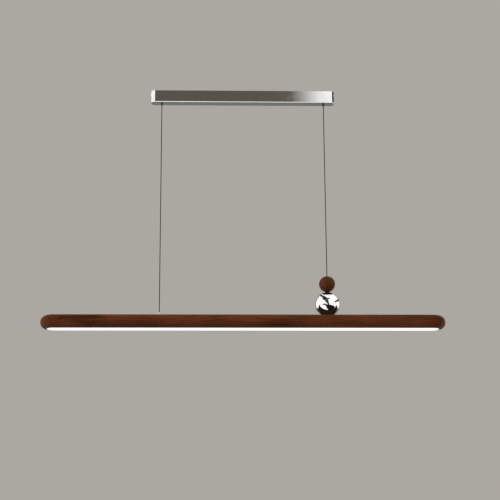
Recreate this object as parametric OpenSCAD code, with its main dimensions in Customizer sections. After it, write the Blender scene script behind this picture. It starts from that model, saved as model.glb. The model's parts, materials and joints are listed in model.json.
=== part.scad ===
// Linear pendant lamp: a walnut bar with a light set flush in its underside, hung level on two
// wires from a slim ceiling canopy. A polished ball and a wooden ball are threaded on the right wire.
// Millimetres, +Z up. The origin is on the ceiling at the middle of the canopy, X runs along the bar.

/* [Bar] */
// Length of the wooden bar
bar_l = 1200; // [1000:10:1600]
// Width of the wooden bar
bar_w = 80; // [77:1:110]
// Height of the wooden bar, which is also the diameter of its rounded edge
bar_h = 40; // [37:1:42]
// Wood left above the light recess
bar_roof = 15; // [12:0.5:16]
// Ceiling to the underside of the bar
overall_h = 750; // [600:10:1500]

/* [Light] */
// Thickness of the diffuser's face
diffuser_face = 2; // [1.5:0.1:2.5]
// Thickness of the diffuser's side walls
diffuser_wall = 2; // [1.5:0.1:2.4]
// Height of the diffuser
diffuser_h = 16; // [14:0.5:17]
// Clearance between the diffuser and the wood
diffuser_gap = 0.25; // [0.15:0.05:0.5]
// Thickness of the heat-sink channel
channel_t = 1.5; // [1.2:0.1:2]
// Width of an LED board
board_w = 6; // [5:0.5:6.5]
// Thickness of an LED board
board_t = 1.2; // [0.8:0.1:1.6]
// Distance between LEDs along a board
led_pitch = 45; // [30:1:60]

/* [Balls] */
// Diameter of the polished ball
chrome_ball_d = 72; // [56:1:90]
// Wall of the polished ball, which is hollow
chrome_ball_wall = 1.5; // [1:0.1:3]
// Diameter of the wooden ball
wood_ball_d = 48; // [40:1:70]
// Thickness of the collar between the balls
collar_t = 3; // [1.5:0.5:8]
// Diameter of the collar between the balls
collar_d = 13; // [11:0.5:16]

/* [Suspension] */
// Distance between the two wires
hang_spacing = 500; // [470:2:530]
// Diameter of a suspension wire
wire_d = 2.5; // [2:0.1:2.6]
// Thread diameter of the studs through the bar
stud_d = 8; // [7:0.5:9]
// Height of the left wire's ferrule above the bar
ferrule_h = 12; // [10:0.5:16]
// Diameter of the left wire's ferrule
ferrule_d = 7; // [6.5:0.5:9]

/* [Wire grips] */
// Thread diameter of a grip body
grip_d = 8; // [8:0.1:9]
// Length of a grip body above the canopy's underside
grip_h = 20; // [19:0.5:22]
// Height of the grip's collar below the canopy
grip_collar_h = 4; // [2:0.5:5]
// Diameter of the grip's collar at the canopy
grip_collar_d = 9.6; // [9.6:0.1:12]
// How far the release nozzle stands out of the collar
nozzle_out = 2.5; // [2.2:0.1:4]
// Diameter of a locking ball
lock_ball_d = 1.5; // [1.3:0.1:1.6]

/* [Canopy] */
// Length of the canopy
canopy_l = 566; // [550:2:640]
// Depth of the canopy
canopy_w = 32; // [31:1:44]
// Height of the canopy
canopy_h = 37; // [34:1:50]
// Sheet thickness of the canopy
canopy_wall = 1.2; // [0.8:0.1:1.6]
// Radius of the canopy's upright corners
canopy_corner_r = 12; // [8:0.5:13]
// Radius of the canopy's lower edge
canopy_edge_r = 1.4; // [1.2:0.1:3]

/* [Ceiling strap] */
// Thickness of the strap
strap_t = 2; // [1.5:0.5:2.5]
// Distance between the ceiling screw slots
slot_spacing = 380; // [340:5:400]
// Width of a ceiling screw slot
slot_w = 5.5; // [4.5:0.5:6.5]
// Length of a ceiling screw slot
slot_l = 16; // [10:1:20]
// Diameter of the supply cable's hole
cable_hole_d = 14; // [8:1:15]

/* [Driver] */
// Length of the LED driver
driver_l = 160; // [130:1:165]
// Width of the LED driver
driver_w = 20; // [16:1:21]
// Height of the LED driver
driver_h = 19; // [15:1:20]

/* [Hidden] */
$fn = 64;

// Colours
walnut = [0.30, 0.17, 0.09];
polished = [0.80, 0.81, 0.82];
black = [0.07, 0.07, 0.07];
zinc = [0.66, 0.68, 0.70];
brass = [0.80, 0.66, 0.34];
white = [0.93, 0.93, 0.90];
glow = [1.00, 0.99, 0.94];
red_lead = [0.65, 0.10, 0.08];
green_lead = [0.16, 0.42, 0.14];

// Clearances
seat_gap = 0.1;
run_gap = 0.05;
screw_gap = 0.1;
hole_gap = 0.2;
bend_gap = 0.3;

// How far a cutting shape runs past a face, and a screw slot's width as a share of the screw
cut = 1;
slot_share = 0.2;

// Bar
flat_w = bar_w - bar_h;
straight_l = bar_l - bar_w;
bar_bottom = -overall_h;
bar_mid = bar_bottom + bar_h / 2;
bar_top = bar_bottom + bar_h;
recess_top = bar_top - bar_roof;
recess_w = flat_w + 2 * diffuser_gap;

// Light: the diffuser's lip hooks over a bead along the channel's flanges
lip = 0.7;
lip_t = 1;
bead = 0.6;
bead_h = 1.2;
channel_side_gap = 1;
channel_end_gap = 10;
channel_w = flat_w - 2 * diffuser_wall - 2 * channel_side_gap;
channel_l = straight_l - 2 * channel_end_gap;
channel_under = recess_top - channel_t;
channel_bottom = bar_bottom + diffuser_h - lip_t - seat_gap - bead_h;
board_end_gap = 5;
board_l = channel_l - 2 * board_end_gap;
board_side_gap = 0.3;
board_y = channel_w / 2 - channel_t - board_side_gap - board_w / 2;
board_under = channel_under - board_t;
led_l = 3.5;
led_w = 2.8;
led_t = 0.7;
led_count = floor((board_l - led_l) / led_pitch) + 1;
channel_screw_d = 3.5;
channel_screw_head_d = 6.5;
channel_screw_head_h = 1.4;
channel_screw_l = 9;
channel_screw_inset = 40;
channel_screw_from_wire = 60;
channel_screw_x = [
  channel_l / 2 - channel_screw_inset,
  hang_spacing / 2 + channel_screw_from_wire,
  hang_spacing / 2 - channel_screw_from_wire
];

// Studs and wire ends in the bar
stud_hole_d = stud_d + 2 * hole_gap;
stud_nut_af = 12;
stud_nut_h = 4;
stud_washer_d = 13;
stud_washer_t = 1;
stud_past_nut = 1;
stud_bottom = channel_under - stud_washer_t - stud_nut_h - stud_past_nut;
wire_bore_d = wire_d + 2 * hole_gap;
wire_stop_d = 5;
wire_stop_l = 6;
wire_stop_bottom = stud_bottom - wire_stop_l;
ferrule_flange_out = 2.5;
ferrule_flange_d = ferrule_d + 2 * ferrule_flange_out;
ferrule_flange_h = 1.6;
ferrule_tip_wall = 1.5;
ferrule_tip_d = wire_d + 2 * ferrule_tip_wall;
ferrule_tip_h = 4;
ferrule_top = bar_top + ferrule_h;
bar_lead_d = 1.2;
bar_lead_drop = 3;
bar_lead_reach = 14;
bar_lead_turn = 2;

// Balls: small flats let them seat on the bar and on the collar
seat_cut = 0.4;
chrome_ball_mid = bar_top + chrome_ball_d / 2 - seat_cut;
collar_bottom = chrome_ball_mid + chrome_ball_d / 2 - seat_cut;
wood_ball_mid = collar_bottom + collar_t + wood_ball_d / 2 - seat_cut;
wood_ball_top = wood_ball_mid + wood_ball_d / 2;
stem_top = wood_ball_mid;
stem_bore_gap = 0.5;
stem_bore_d = wire_d + 2 * stem_bore_gap;
stem_end_gap = 1;

// Canopy and strap
canopy_bottom = -canopy_h;
canopy_floor = canopy_bottom + canopy_wall;
inner_l = canopy_l - 2 * canopy_wall;
inner_w = canopy_w - 2 * canopy_wall;
inner_corner_r = canopy_corner_r - canopy_wall;
edge_fillet = 0.4;
inner_edge_r = canopy_edge_r - canopy_wall + edge_fillet;
strap_end_gap = 0.3;
strap_side_gap = 3.8;
strap_l = inner_l - 2 * strap_end_gap;
strap_w = inner_w - 2 * strap_side_gap;
tab_h = 16;
tab_spread = 3;
tab_w = canopy_w - 2 * canopy_corner_r + tab_spread;
cover_screw_d = 4;
cover_screw_l = 8;
cover_screw_head_d = 7;
cover_screw_head_h = 1.2;
cover_screw_z = -9;

// Wire grips
grip_x = hang_spacing / 2;
grip_top = canopy_bottom + grip_h;
grip_cap = 2;
grip_bottom = canopy_bottom - grip_collar_h;
grip_collar_tip_d = 7.4;
grip_wall = 1;
grip_nut_af = 13;
grip_nut_h = 3.5;
nozzle_wall = 1.1;
nozzle_d = wire_bore_d + 2 * nozzle_wall;
nozzle_bottom = grip_bottom - nozzle_out;
spring_room = 6;
nozzle_top = grip_top - grip_cap - spring_room;
nozzle_guide_d = nozzle_d + 2 * run_gap;
lock_ball_count = 3;
lock_ball_r = lock_ball_d / 2;
lock_ball_x = wire_d / 2 + lock_ball_r + run_gap;
lock_ball_drop = 3.5;
lock_ball_z = nozzle_top - lock_ball_drop;
grip_cone_angle = 8;
grip_chamber_r = grip_d / 2 - grip_wall;
grip_cone_r = lock_ball_x + (lock_ball_r + run_gap) / cos(grip_cone_angle);
grip_cone_bottom = lock_ball_z - (grip_cone_r - nozzle_guide_d / 2) / tan(grip_cone_angle);
grip_cone_top = lock_ball_z + (grip_chamber_r - grip_cone_r) / tan(grip_cone_angle);
spring_wire_d = 0.6;
spring_off_wire = 1;
spring_d = wire_d + 2 * spring_off_wire;
spring_turns = 4.5;
spring_top = grip_top - grip_cap;
spring_steps = 8;

// Suspension wires: each bends where it leaves the nozzle, and the left one again above its ferrule
bend_l = 4;
wire_top = nozzle_bottom - bend_l;
left_foot_top = ferrule_top + bend_l;

// Driver, terminal block and leads in the canopy
driver_x = -55;
driver_ear_l = 8;
driver_ear_t = 3;
driver_corner_r = 2;
driver_left = driver_x - driver_l / 2;
driver_right = driver_x + driver_l / 2;
lead_drop = 12;
lead_z = -strap_t - lead_drop;
lead_y = 4;
lead_hole_depth = 6;
lead_d = 1.6;
lead_turn = 4;
lead_in = 4;
lead_out = 8;
lead_climb = 12;
strap_screw_d = 3;
strap_screw_head_d = 5.6;
strap_screw_head_h = 2;
terminal_l = 28;
terminal_w = 21;
terminal_h = 13;
terminal_from_driver = 50;
terminal_x = driver_right + terminal_from_driver;
terminal_pitch = 7;
terminal_poles = [-terminal_pitch, 0, terminal_pitch];
terminal_hole_d = 2.8;
terminal_axis_drop = 5;
terminal_axis_z = -strap_t - terminal_axis_drop;
terminal_screw_d = 4;
terminal_screw_x = 8;
terminal_screw_in = 1;
cable_hole_from_terminal = 30;
cable_hole_x = terminal_x + terminal_l / 2 + cable_hole_from_terminal;
earth_from_terminal = 14;
earth_x = terminal_x - terminal_l / 2 - earth_from_terminal;
earth_screw_d = 4;
earth_head_d = 7;
earth_head_h = 3;
tail_rise = 6;
tail_z = grip_top + tail_rise;
tail_y = 8;
tail_in = 20;
splice_from_wire = 42;
splice_l = 16;
splice_d = 4.4;
splice_hold = 6;
splice_bore_d = wire_d + 2 * run_gap;
side_lead_gap = 1.4;
side_lead_y = inner_w / 2 - lead_d / 2 - side_lead_gap;
side_lead_drop = 17;
side_lead_z = -strap_t - side_lead_drop;

// Screws up into the strap: place along and across it, and the thickness each one holds
strap_screw_places = [
  [driver_left - driver_ear_l / 2, 0, driver_ear_t],
  [driver_right + driver_ear_l / 2, 0, driver_ear_t],
  [terminal_x, terminal_pitch / 2, terminal_h]
];

// Helper functions for wires, leads and springs
function unit(v) = v / norm(v);
function eased(p, r, n = 4) = [
  p[0],
  for (i = [1 : len(p) - 2])
    let (a = p[i] + r * unit(p[i - 1] - p[i]), c = p[i] + r * unit(p[i + 1] - p[i]))
      for (k = [0 : n])
        let (t = k / n)
          (1 - t) * (1 - t) * a + 2 * t * (1 - t) * p[i] + t * t * c,
  p[len(p) - 1]
];
function headings(p) = [
  for (i = [0 : len(p) - 1])
    unit(p[min(i + 1, len(p) - 1)] - p[max(i - 1, 0)])
];
function across(t) = unit(cross(t, abs(t.z) > 0.9 ? [1, 0, 0] : [0, 0, 1]));
function carried(t, i = 0, n = undef, out = []) =
  i == len(t) ? out :
  let (m = i == 0 ? across(t[0]) : unit(n - (n * t[i]) * t[i]))
    carried(t, i + 1, m, concat(out, [m]));
function helix(d, z0, z1, turns, steps) = [
  for (i = [0 : round(turns * steps)])
    let (a = 360 * i / steps, z = z0 + (z1 - z0) * i / (turns * steps))
      [d / 2 * cos(a), d / 2 * sin(a), z]
];
function least_gap(p, d, apart) = min([
  for (i = [0 : len(p) - 1 - apart])
    for (j = [i + apart : len(p) - 1])
      norm(p[i] - p[j]) - d
]);

// A tube of one piece along a line of points
module tube_along(p, d, sides = 8) {
  t = headings(p);
  n = carried(t);
  rings = [
    for (i = [0 : len(p) - 1])
      for (j = [0 : sides - 1])
        p[i] + d / 2 * (cos(360 * j / sides) * n[i] + sin(360 * j / sides) * cross(t[i], n[i]))
  ];
  last = (len(p) - 1) * sides;
  walls = [
    for (i = [0 : len(p) - 2])
      for (j = [0 : sides - 1])
        let (a = i * sides + j, b = i * sides + (j + 1) % sides)
          each [[a, a + sides, b + sides], [a, b + sides, b]]
  ];
  ends = [for (j = [1 : sides - 2]) each [[0, j, j + 1], [last, last + j + 1, last + j]]];
  polyhedron(points = rings, faces = concat(walls, ends));
}

module stadium(l, w) {
  square([l - w, w], center = true);
  for (s = [-1, 1])
    translate([s * (l - w) / 2, 0])
      circle(d = w);
}

module hex_nut(af, h, bore_d) {
  difference() {
    cylinder(d = af / cos(30), h = h, $fn = 6);
    translate([0, 0, -cut])
      cylinder(d = bore_d, h = h + 2 * cut);
  }
}

module ring(d, h, bore_d) {
  difference() {
    cylinder(d = d, h = h);
    translate([0, 0, -cut])
      cylinder(d = bore_d, h = h + 2 * cut);
  }
}

// A screw with a flat cheese head, its shank pointing up from the head's seat at the origin
module cheese_screw(d, l, head_d, head_h) {
  slot_cut = head_h / 2;
  difference() {
    union() {
      translate([0, 0, -head_h])
        cylinder(d = head_d, h = head_h);
      cylinder(d = d, h = l);
    }
    translate([-head_d, -d * slot_share / 2, -head_h - cut])
      cube([2 * head_d, d * slot_share, slot_cut + cut]);
  }
}

// Places its children at the left wire, or turned half round at the right wire
module at_left() {
  translate([-grip_x, 0, 0])
    children();
}

module at_right() {
  rotate([0, 0, 180])
    at_left()
      children();
}

// A block with round upright corners and a rounded lower edge, its top at the origin
module round_block(l, w, h, corner_r, edge_r) {
  module edge_profile() {
    translate([0, -h + edge_r])
      square([corner_r, h - edge_r]);
    translate([0, -h])
      square([corner_r - edge_r, edge_r]);
    translate([corner_r - edge_r, -h + edge_r])
      intersection() {
        circle(r = edge_r);
        translate([0, -edge_r])
          square(edge_r);
      }
  }
  core_l = l - 2 * corner_r;
  core_w = w - 2 * corner_r;
  translate([-core_l / 2, -core_w / 2, -h])
    cube([core_l, core_w, h]);
  for (s = [0, 180]) {
    rotate([0, 0, s])
      translate([0, core_w / 2, 0])
        rotate([90, 0, 90])
          linear_extrude(core_l, center = true)
            edge_profile();
    rotate([0, 0, s])
      translate([core_l / 2, 0, 0])
        rotate([90, 0, 0])
          linear_extrude(core_w, center = true)
            edge_profile();
    rotate([0, 0, s])
      translate([core_l / 2, core_w / 2, 0])
        rotate_extrude(angle = 90)
          edge_profile();
    rotate([0, 0, s])
      translate([-core_l / 2, core_w / 2, 0])
        rotate([0, 0, 90])
          rotate_extrude(angle = 90)
            edge_profile();
  }
}

// Canopy

module ceiling_strap() {
  color(zinc)
    difference() {
      union() {
        translate([0, 0, -strap_t])
          linear_extrude(strap_t)
            stadium(strap_l, strap_w);
        for (s = [-1, 1])
          translate([s * (strap_l / 2 - strap_t / 2), 0, -tab_h / 2])
            cube([strap_t, tab_w, tab_h], center = true);
      }
      for (s = [-1, 1])
        translate([s * slot_spacing / 2, 0, -strap_t - cut])
          linear_extrude(strap_t + 2 * cut)
            stadium(slot_l, slot_w);
      translate([cable_hole_x, 0, -strap_t - cut])
        cylinder(d = cable_hole_d, h = strap_t + 2 * cut);
      translate([earth_x, 0, -strap_t - cut])
        cylinder(d = earth_screw_d + 2 * screw_gap, h = strap_t + 2 * cut);
      for (p = strap_screw_places)
        translate([p.x, p.y, -strap_t - cut])
          cylinder(d = strap_screw_d + 2 * screw_gap, h = strap_t + 2 * cut);
      translate([0, 0, cover_screw_z])
        rotate([0, 90, 0])
          cylinder(d = cover_screw_d + 2 * screw_gap, h = strap_l + 2 * cut, center = true);
    }
}

module canopy_cover() {
  color(polished)
    difference() {
      round_block(canopy_l, canopy_w, canopy_h, canopy_corner_r, canopy_edge_r);
      translate([0, 0, cut])
        round_block(inner_l, inner_w, canopy_h - canopy_wall + cut, inner_corner_r, inner_edge_r);
      for (s = [-1, 1])
        translate([s * grip_x, 0, canopy_bottom - cut])
          cylinder(d = grip_d + 2 * hole_gap, h = canopy_wall + 2 * cut);
      translate([0, 0, cover_screw_z])
        rotate([0, 90, 0])
          cylinder(d = cover_screw_d + 2 * hole_gap, h = canopy_l + 2 * cut, center = true);
    }
}

module cover_screws() {
  color(polished)
    for (s = [0, 180])
      rotate([0, 0, s])
        translate([canopy_l / 2, 0, cover_screw_z])
          rotate([0, -90, 0])
            cheese_screw(cover_screw_d, cover_screw_l, cover_screw_head_d, cover_screw_head_h);
}

module led_driver() {
  color(white)
    difference() {
      union() {
        translate([driver_x, 0, -strap_t])
          round_block(driver_l, driver_w, driver_h, driver_corner_r, driver_corner_r / 2);
        translate([driver_x, 0, -strap_t - driver_ear_t])
          linear_extrude(driver_ear_t)
            stadium(driver_l + 2 * driver_ear_l, driver_w / 2);
      }
      for (x = [driver_left - driver_ear_l / 2, driver_right + driver_ear_l / 2])
        translate([x, 0, -strap_t - driver_ear_t - cut])
          cylinder(d = strap_screw_d + 2 * hole_gap, h = driver_ear_t + 2 * cut);
      for (s = [-1, 1])
        for (e = [driver_left, driver_right])
          translate([e, s * lead_y, lead_z])
            rotate([0, 90, 0])
              cylinder(d = lead_d + 2 * hole_gap, h = 2 * lead_hole_depth, center = true);
    }
}

module strap_screws() {
  color(zinc)
    for (p = strap_screw_places)
      translate([p.x, p.y, -strap_t - p.z])
        cheese_screw(strap_screw_d, p.z + strap_t, strap_screw_head_d, strap_screw_head_h);
}

module terminal_block() {
  color(white)
    difference() {
      translate([terminal_x - terminal_l / 2, -terminal_w / 2, -strap_t - terminal_h])
        cube([terminal_l, terminal_w, terminal_h]);
      for (y = terminal_poles) {
        translate([terminal_x, y, terminal_axis_z])
          rotate([0, 90, 0])
            cylinder(d = terminal_hole_d, h = terminal_l + 2 * cut, center = true);
        for (s = [-1, 1])
          translate([terminal_x + s * terminal_screw_x, y, -strap_t - terminal_h - cut])
            cylinder(d = terminal_screw_d + 2 * screw_gap, h = terminal_axis_z + strap_t + terminal_h + cut);
      }
      translate([terminal_x, terminal_pitch / 2, -strap_t - terminal_h - cut])
        cylinder(d = strap_screw_d + 2 * screw_gap, h = terminal_h + 2 * cut);
    }
}

module terminal_screws() {
  screw_l = terminal_h + strap_t + terminal_axis_z - terminal_screw_in - terminal_hole_d / 2;
  color(brass)
    for (y = terminal_poles)
      for (s = [-1, 1])
        translate([terminal_x + s * terminal_screw_x, y, -strap_t - terminal_h + terminal_screw_in])
          difference() {
            cylinder(d = terminal_screw_d, h = screw_l);
            translate([-terminal_screw_d, -terminal_screw_d * slot_share / 2, -cut])
              cube([2 * terminal_screw_d, terminal_screw_d * slot_share, 2 * cut]);
          }
}

module earth_screw() {
  color(brass)
    translate([earth_x, 0, -strap_t])
      cheese_screw(earth_screw_d, strap_t, earth_head_d, earth_head_h);
}

module supply_leads() {
  from_x = driver_right - lead_in;
  to_x = terminal_x - terminal_l / 2 + lead_in;
  mid = (driver_right + to_x) / 2;
  color(red_lead)
    for (s = [-1, 1])
      tube_along(eased([
        [from_x, s * lead_y, lead_z],
        [mid - lead_turn, s * lead_y, lead_z],
        [mid + lead_turn, s * terminal_pitch, terminal_axis_z],
        [to_x, s * terminal_pitch, terminal_axis_z]
      ], lead_turn), lead_d);
  color(green_lead)
    tube_along([
      [earth_x + earth_head_d / 2 + seat_gap, 0, terminal_axis_z + lead_d],
      [terminal_x - terminal_l / 2 - lead_turn, 0, terminal_axis_z],
      [to_x, 0, terminal_axis_z]
    ], lead_d);
}

module left_output_lead() {
  splice_end = -grip_x + splice_from_wire + splice_l;
  color(red_lead)
    tube_along(eased([
      [driver_left + lead_in, lead_y, lead_z],
      [driver_left - lead_out, lead_y, lead_z],
      [driver_left - lead_out - lead_climb, tail_y, tail_z],
      [splice_end - splice_hold, tail_y, tail_z]
    ], lead_turn), lead_d);
}

module right_output_lead() {
  splice_end = grip_x - splice_from_wire - splice_l;
  color(black)
    tube_along(eased([
      [driver_left + lead_in, -lead_y, lead_z],
      [driver_left - lead_climb, -lead_y, lead_z],
      [driver_left - lead_climb, -side_lead_y, side_lead_z],
      [driver_right, -side_lead_y, side_lead_z],
      [splice_end - lead_out - lead_climb, -side_lead_y, side_lead_z],
      [splice_end - lead_out, -tail_y, tail_z],
      [splice_end + splice_hold, -tail_y, tail_z]
    ], lead_turn), lead_d);
}

module splice() {
  color(zinc)
    translate([splice_from_wire, tail_y, tail_z])
      rotate([0, 90, 0])
        ring(splice_d, splice_l, splice_bore_d);
}

module left_splice() { at_left() splice(); }
module right_splice() { at_right() splice(); }

module wire_tail() {
  color(black)
    tube_along(eased([
      [0, 0, nozzle_bottom],
      [0, 0, tail_z],
      [tail_in, tail_y, tail_z],
      [splice_from_wire + splice_hold, tail_y, tail_z]
    ], lead_turn), wire_d);
}

module left_wire_tail() { at_left() wire_tail(); }
module right_wire_tail() { at_right() wire_tail(); }

// Wire grips: a sprung nozzle carries three balls, which the wire's pull wedges into a cone

module grip_body() {
  color(black)
    difference() {
      union() {
        translate([0, 0, canopy_bottom])
          cylinder(d = grip_d, h = grip_h);
        translate([0, 0, grip_bottom])
          cylinder(d1 = grip_collar_tip_d, d2 = grip_collar_d, h = grip_collar_h);
      }
      rotate_extrude()
        polygon([
          [0, grip_bottom - cut],
          [nozzle_guide_d / 2, grip_bottom - cut],
          [nozzle_guide_d / 2, grip_cone_bottom],
          [grip_chamber_r, grip_cone_top],
          [grip_chamber_r, spring_top],
          [wire_bore_d / 2, spring_top],
          [wire_bore_d / 2, grip_top + cut],
          [0, grip_top + cut]
        ]);
    }
}

module left_grip_body() { at_left() grip_body(); }
module right_grip_body() { at_right() grip_body(); }

module grip_nut() {
  color(zinc)
    translate([0, 0, canopy_floor])
      hex_nut(grip_nut_af, grip_nut_h, grip_d + 2 * screw_gap);
}

module left_grip_nut() { at_left() grip_nut(); }
module right_grip_nut() { at_right() grip_nut(); }

module grip_spring() {
  turns_z0 = nozzle_top + spring_wire_d / 2 + seat_gap;
  turns_z1 = spring_top - spring_wire_d / 2 - seat_gap;
  line = helix(spring_d, turns_z0, turns_z1, spring_turns, spring_steps);
  echo(spring_gap = least_gap(line, spring_wire_d, spring_steps));
  color(zinc)
    tube_along(line, spring_wire_d, 6);
}

module left_grip_spring() { at_left() grip_spring(); }
module right_grip_spring() { at_right() grip_spring(); }

module grip_nozzle() {
  color(black)
    difference() {
      translate([0, 0, nozzle_bottom])
        cylinder(d = nozzle_d, h = nozzle_top - nozzle_bottom);
      translate([0, 0, nozzle_bottom - cut])
        cylinder(d = wire_bore_d, h = nozzle_top - nozzle_bottom + 2 * cut);
      for (i = [0 : lock_ball_count - 1])
        rotate([0, 0, 360 * i / lock_ball_count])
          translate([0, 0, lock_ball_z])
            rotate([0, 90, 0])
              cylinder(d = lock_ball_d + 2 * run_gap, h = nozzle_d);
    }
}

module left_grip_nozzle() { at_left() grip_nozzle(); }
module right_grip_nozzle() { at_right() grip_nozzle(); }

module lock_balls() {
  color(zinc)
    for (i = [0 : lock_ball_count - 1])
      rotate([0, 0, 360 * i / lock_ball_count])
        translate([lock_ball_x, 0, lock_ball_z])
          sphere(d = lock_ball_d);
}

module left_lock_balls() { at_left() lock_balls(); }
module right_lock_balls() { at_right() lock_balls(); }

// Suspension wires

module wire_length(top, bottom) {
  color(black)
    translate([0, 0, bottom])
      cylinder(d = wire_d, h = top - bottom);
}

module left_wire_bend() { at_left() wire_length(nozzle_bottom - bend_gap, wire_top); }
module left_wire() { at_left() wire_length(wire_top - bend_gap, left_foot_top + bend_gap); }
module left_wire_foot() { at_left() wire_length(left_foot_top, ferrule_top + bend_gap); }
module right_wire_bend() { at_right() wire_length(nozzle_bottom - bend_gap, wire_top); }
module right_wire() { at_right() wire_length(wire_top - bend_gap, wood_ball_top + bend_gap); }

// Bar and light

module bar_section() {
  square([flat_w, bar_h], center = true);
  for (s = [-1, 1])
    translate([s * flat_w / 2, 0])
      circle(d = bar_h);
}

module bar_half_section() {
  translate([0, -bar_h / 2])
    square([flat_w / 2, bar_h]);
  translate([flat_w / 2, 0])
    intersection() {
      circle(d = bar_h);
      translate([0, -bar_h / 2])
        square([bar_h / 2, bar_h]);
    }
}

module bar_blank() {
  rotate([90, 0, 90])
    linear_extrude(straight_l, center = true)
      bar_section();
  for (s = [0, 180])
    rotate([0, 0, s])
      translate([straight_l / 2, 0, 0])
        rotate([0, 0, -90])
          rotate_extrude(angle = 180)
            bar_half_section();
}

module wood_bar() {
  color(walnut)
    difference() {
      translate([0, 0, bar_mid])
        bar_blank();
      translate([0, 0, bar_bottom - cut])
        linear_extrude(recess_top - bar_bottom + cut)
          stadium(straight_l + recess_w, recess_w);
      for (s = [-1, 1])
        translate([s * grip_x, 0, recess_top - cut])
          cylinder(d = stud_hole_d, h = bar_roof + 2 * cut);
      for (s = [-1, 1])
        for (x = channel_screw_x)
          translate([s * x, 0, recess_top - cut])
            cylinder(d = channel_screw_d + 2 * screw_gap, h = channel_screw_l + cut);
    }
}

module led_channel() {
  flange_w = channel_t + bead;
  color(zinc)
    difference() {
      union() {
        translate([-channel_l / 2, -channel_w / 2, channel_under])
          cube([channel_l, channel_w, channel_t]);
        for (s = [0, 180])
          rotate([0, 0, s]) {
            translate([-channel_l / 2, channel_w / 2 - channel_t, channel_bottom])
              cube([channel_l, channel_t, channel_under - channel_bottom]);
            translate([-channel_l / 2, channel_w / 2 - channel_t, channel_bottom])
              cube([channel_l, flange_w, bead_h]);
          }
      }
      for (s = [-1, 1]) {
        translate([s * grip_x, 0, channel_under - cut])
          cylinder(d = stud_hole_d, h = channel_t + 2 * cut);
        for (x = channel_screw_x)
          translate([s * x, 0, channel_under])
            screw_form(screw_gap);
      }
    }
}

// A countersunk screw, or with a gap the hole that takes it
module screw_form(gap) {
  translate([0, 0, -gap])
    cylinder(
      d1 = channel_screw_head_d + 2 * gap,
      d2 = channel_screw_d + 2 * gap,
      h = channel_screw_head_h + gap
    );
  cylinder(d = channel_screw_d + 2 * gap, h = channel_screw_l + gap);
}

module channel_screws() {
  color(zinc)
    for (s = [-1, 1])
      for (x = channel_screw_x)
        translate([s * x, 0, channel_under])
          screw_form(0);
}

module led_boards() {
  color(white)
    for (s = [-1, 1])
      translate([-board_l / 2, s * board_y - board_w / 2, board_under])
        cube([board_l, board_w, board_t]);
}

module led_chips() {
  first = -(led_count - 1) * led_pitch / 2;
  color(glow)
    for (s = [-1, 1])
      for (i = [0 : led_count - 1])
        translate([first + i * led_pitch - led_l / 2, s * board_y - led_w / 2, board_under - led_t])
          cube([led_l, led_w, led_t]);
}

module diffuser() {
  inner = flat_w - 2 * diffuser_wall;
  mouth = inner - 2 * lip;
  color(glow)
    translate([0, 0, bar_bottom])
      difference() {
        linear_extrude(diffuser_h)
          stadium(straight_l + flat_w, flat_w);
        translate([0, 0, diffuser_face])
          linear_extrude(diffuser_h - diffuser_face - lip_t)
            stadium(straight_l + inner, inner);
        translate([0, 0, diffuser_h - lip_t - cut])
          linear_extrude(lip_t + 2 * cut)
            stadium(straight_l + mouth, mouth);
      }
}

// Left wire's fixing in the bar

module left_ferrule() {
  body_h = ferrule_h - ferrule_tip_h;
  color(polished)
    at_left()
      difference() {
        union() {
          translate([0, 0, stud_bottom])
            cylinder(d = stud_d, h = bar_top - stud_bottom);
          translate([0, 0, bar_top])
            cylinder(d = ferrule_flange_d, h = ferrule_flange_h);
          translate([0, 0, bar_top])
            cylinder(d = ferrule_d, h = body_h);
          translate([0, 0, bar_top + body_h])
            cylinder(d1 = ferrule_d, d2 = ferrule_tip_d, h = ferrule_tip_h);
        }
        translate([0, 0, stud_bottom - cut])
          cylinder(d = wire_bore_d, h = ferrule_top - stud_bottom + 2 * cut);
      }
}

module stud_washer() {
  color(zinc)
    translate([0, 0, channel_under - stud_washer_t])
      ring(stud_washer_d, stud_washer_t, stud_d + 2 * hole_gap);
}

module stud_nut() {
  color(zinc)
    translate([0, 0, channel_under - stud_washer_t - stud_nut_h])
      rotate([0, 0, 30])
        hex_nut(stud_nut_af, stud_nut_h, stud_d + 2 * screw_gap);
}

module wire_stop() {
  color(zinc)
    translate([0, 0, wire_stop_bottom])
      ring(wire_stop_d, wire_stop_l, wire_d + 2 * run_gap);
}

module bar_leads() {
  color(red_lead)
    for (s = [-1, 1])
      tube_along(eased([
        [0, s * (wire_stop_d - bar_lead_d) / 2, wire_stop_bottom],
        [0, s * (wire_stop_d - bar_lead_d) / 2, wire_stop_bottom - bar_lead_drop],
        [bar_lead_reach, s * board_y, wire_stop_bottom - bar_lead_drop],
        [bar_lead_reach, s * board_y, board_under]
      ], bar_lead_turn), bar_lead_d);
}

module left_stud_washer() { at_left() stud_washer(); }
module left_stud_nut() { at_left() stud_nut(); }
module left_wire_stop() { at_left() wire_stop(); }
module left_wire_end() { at_left() wire_length(ferrule_top, wire_stop_bottom); }
module left_bar_leads() { at_left() bar_leads(); }

// Right wire's fixing: a hollow stem carries both balls

module right_stem() {
  color(zinc)
    at_right()
      translate([0, 0, stud_bottom])
        ring(stud_d, stem_top - stud_bottom, stem_bore_d);
}

module right_stem_washer() { at_right() stud_washer(); }
module right_stem_nut() { at_right() stud_nut(); }
module right_wire_stop() { at_right() wire_stop(); }
module right_wire_end() { at_right() wire_length(wood_ball_top, wire_stop_bottom); }
module right_bar_leads() { at_right() bar_leads(); }

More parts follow.
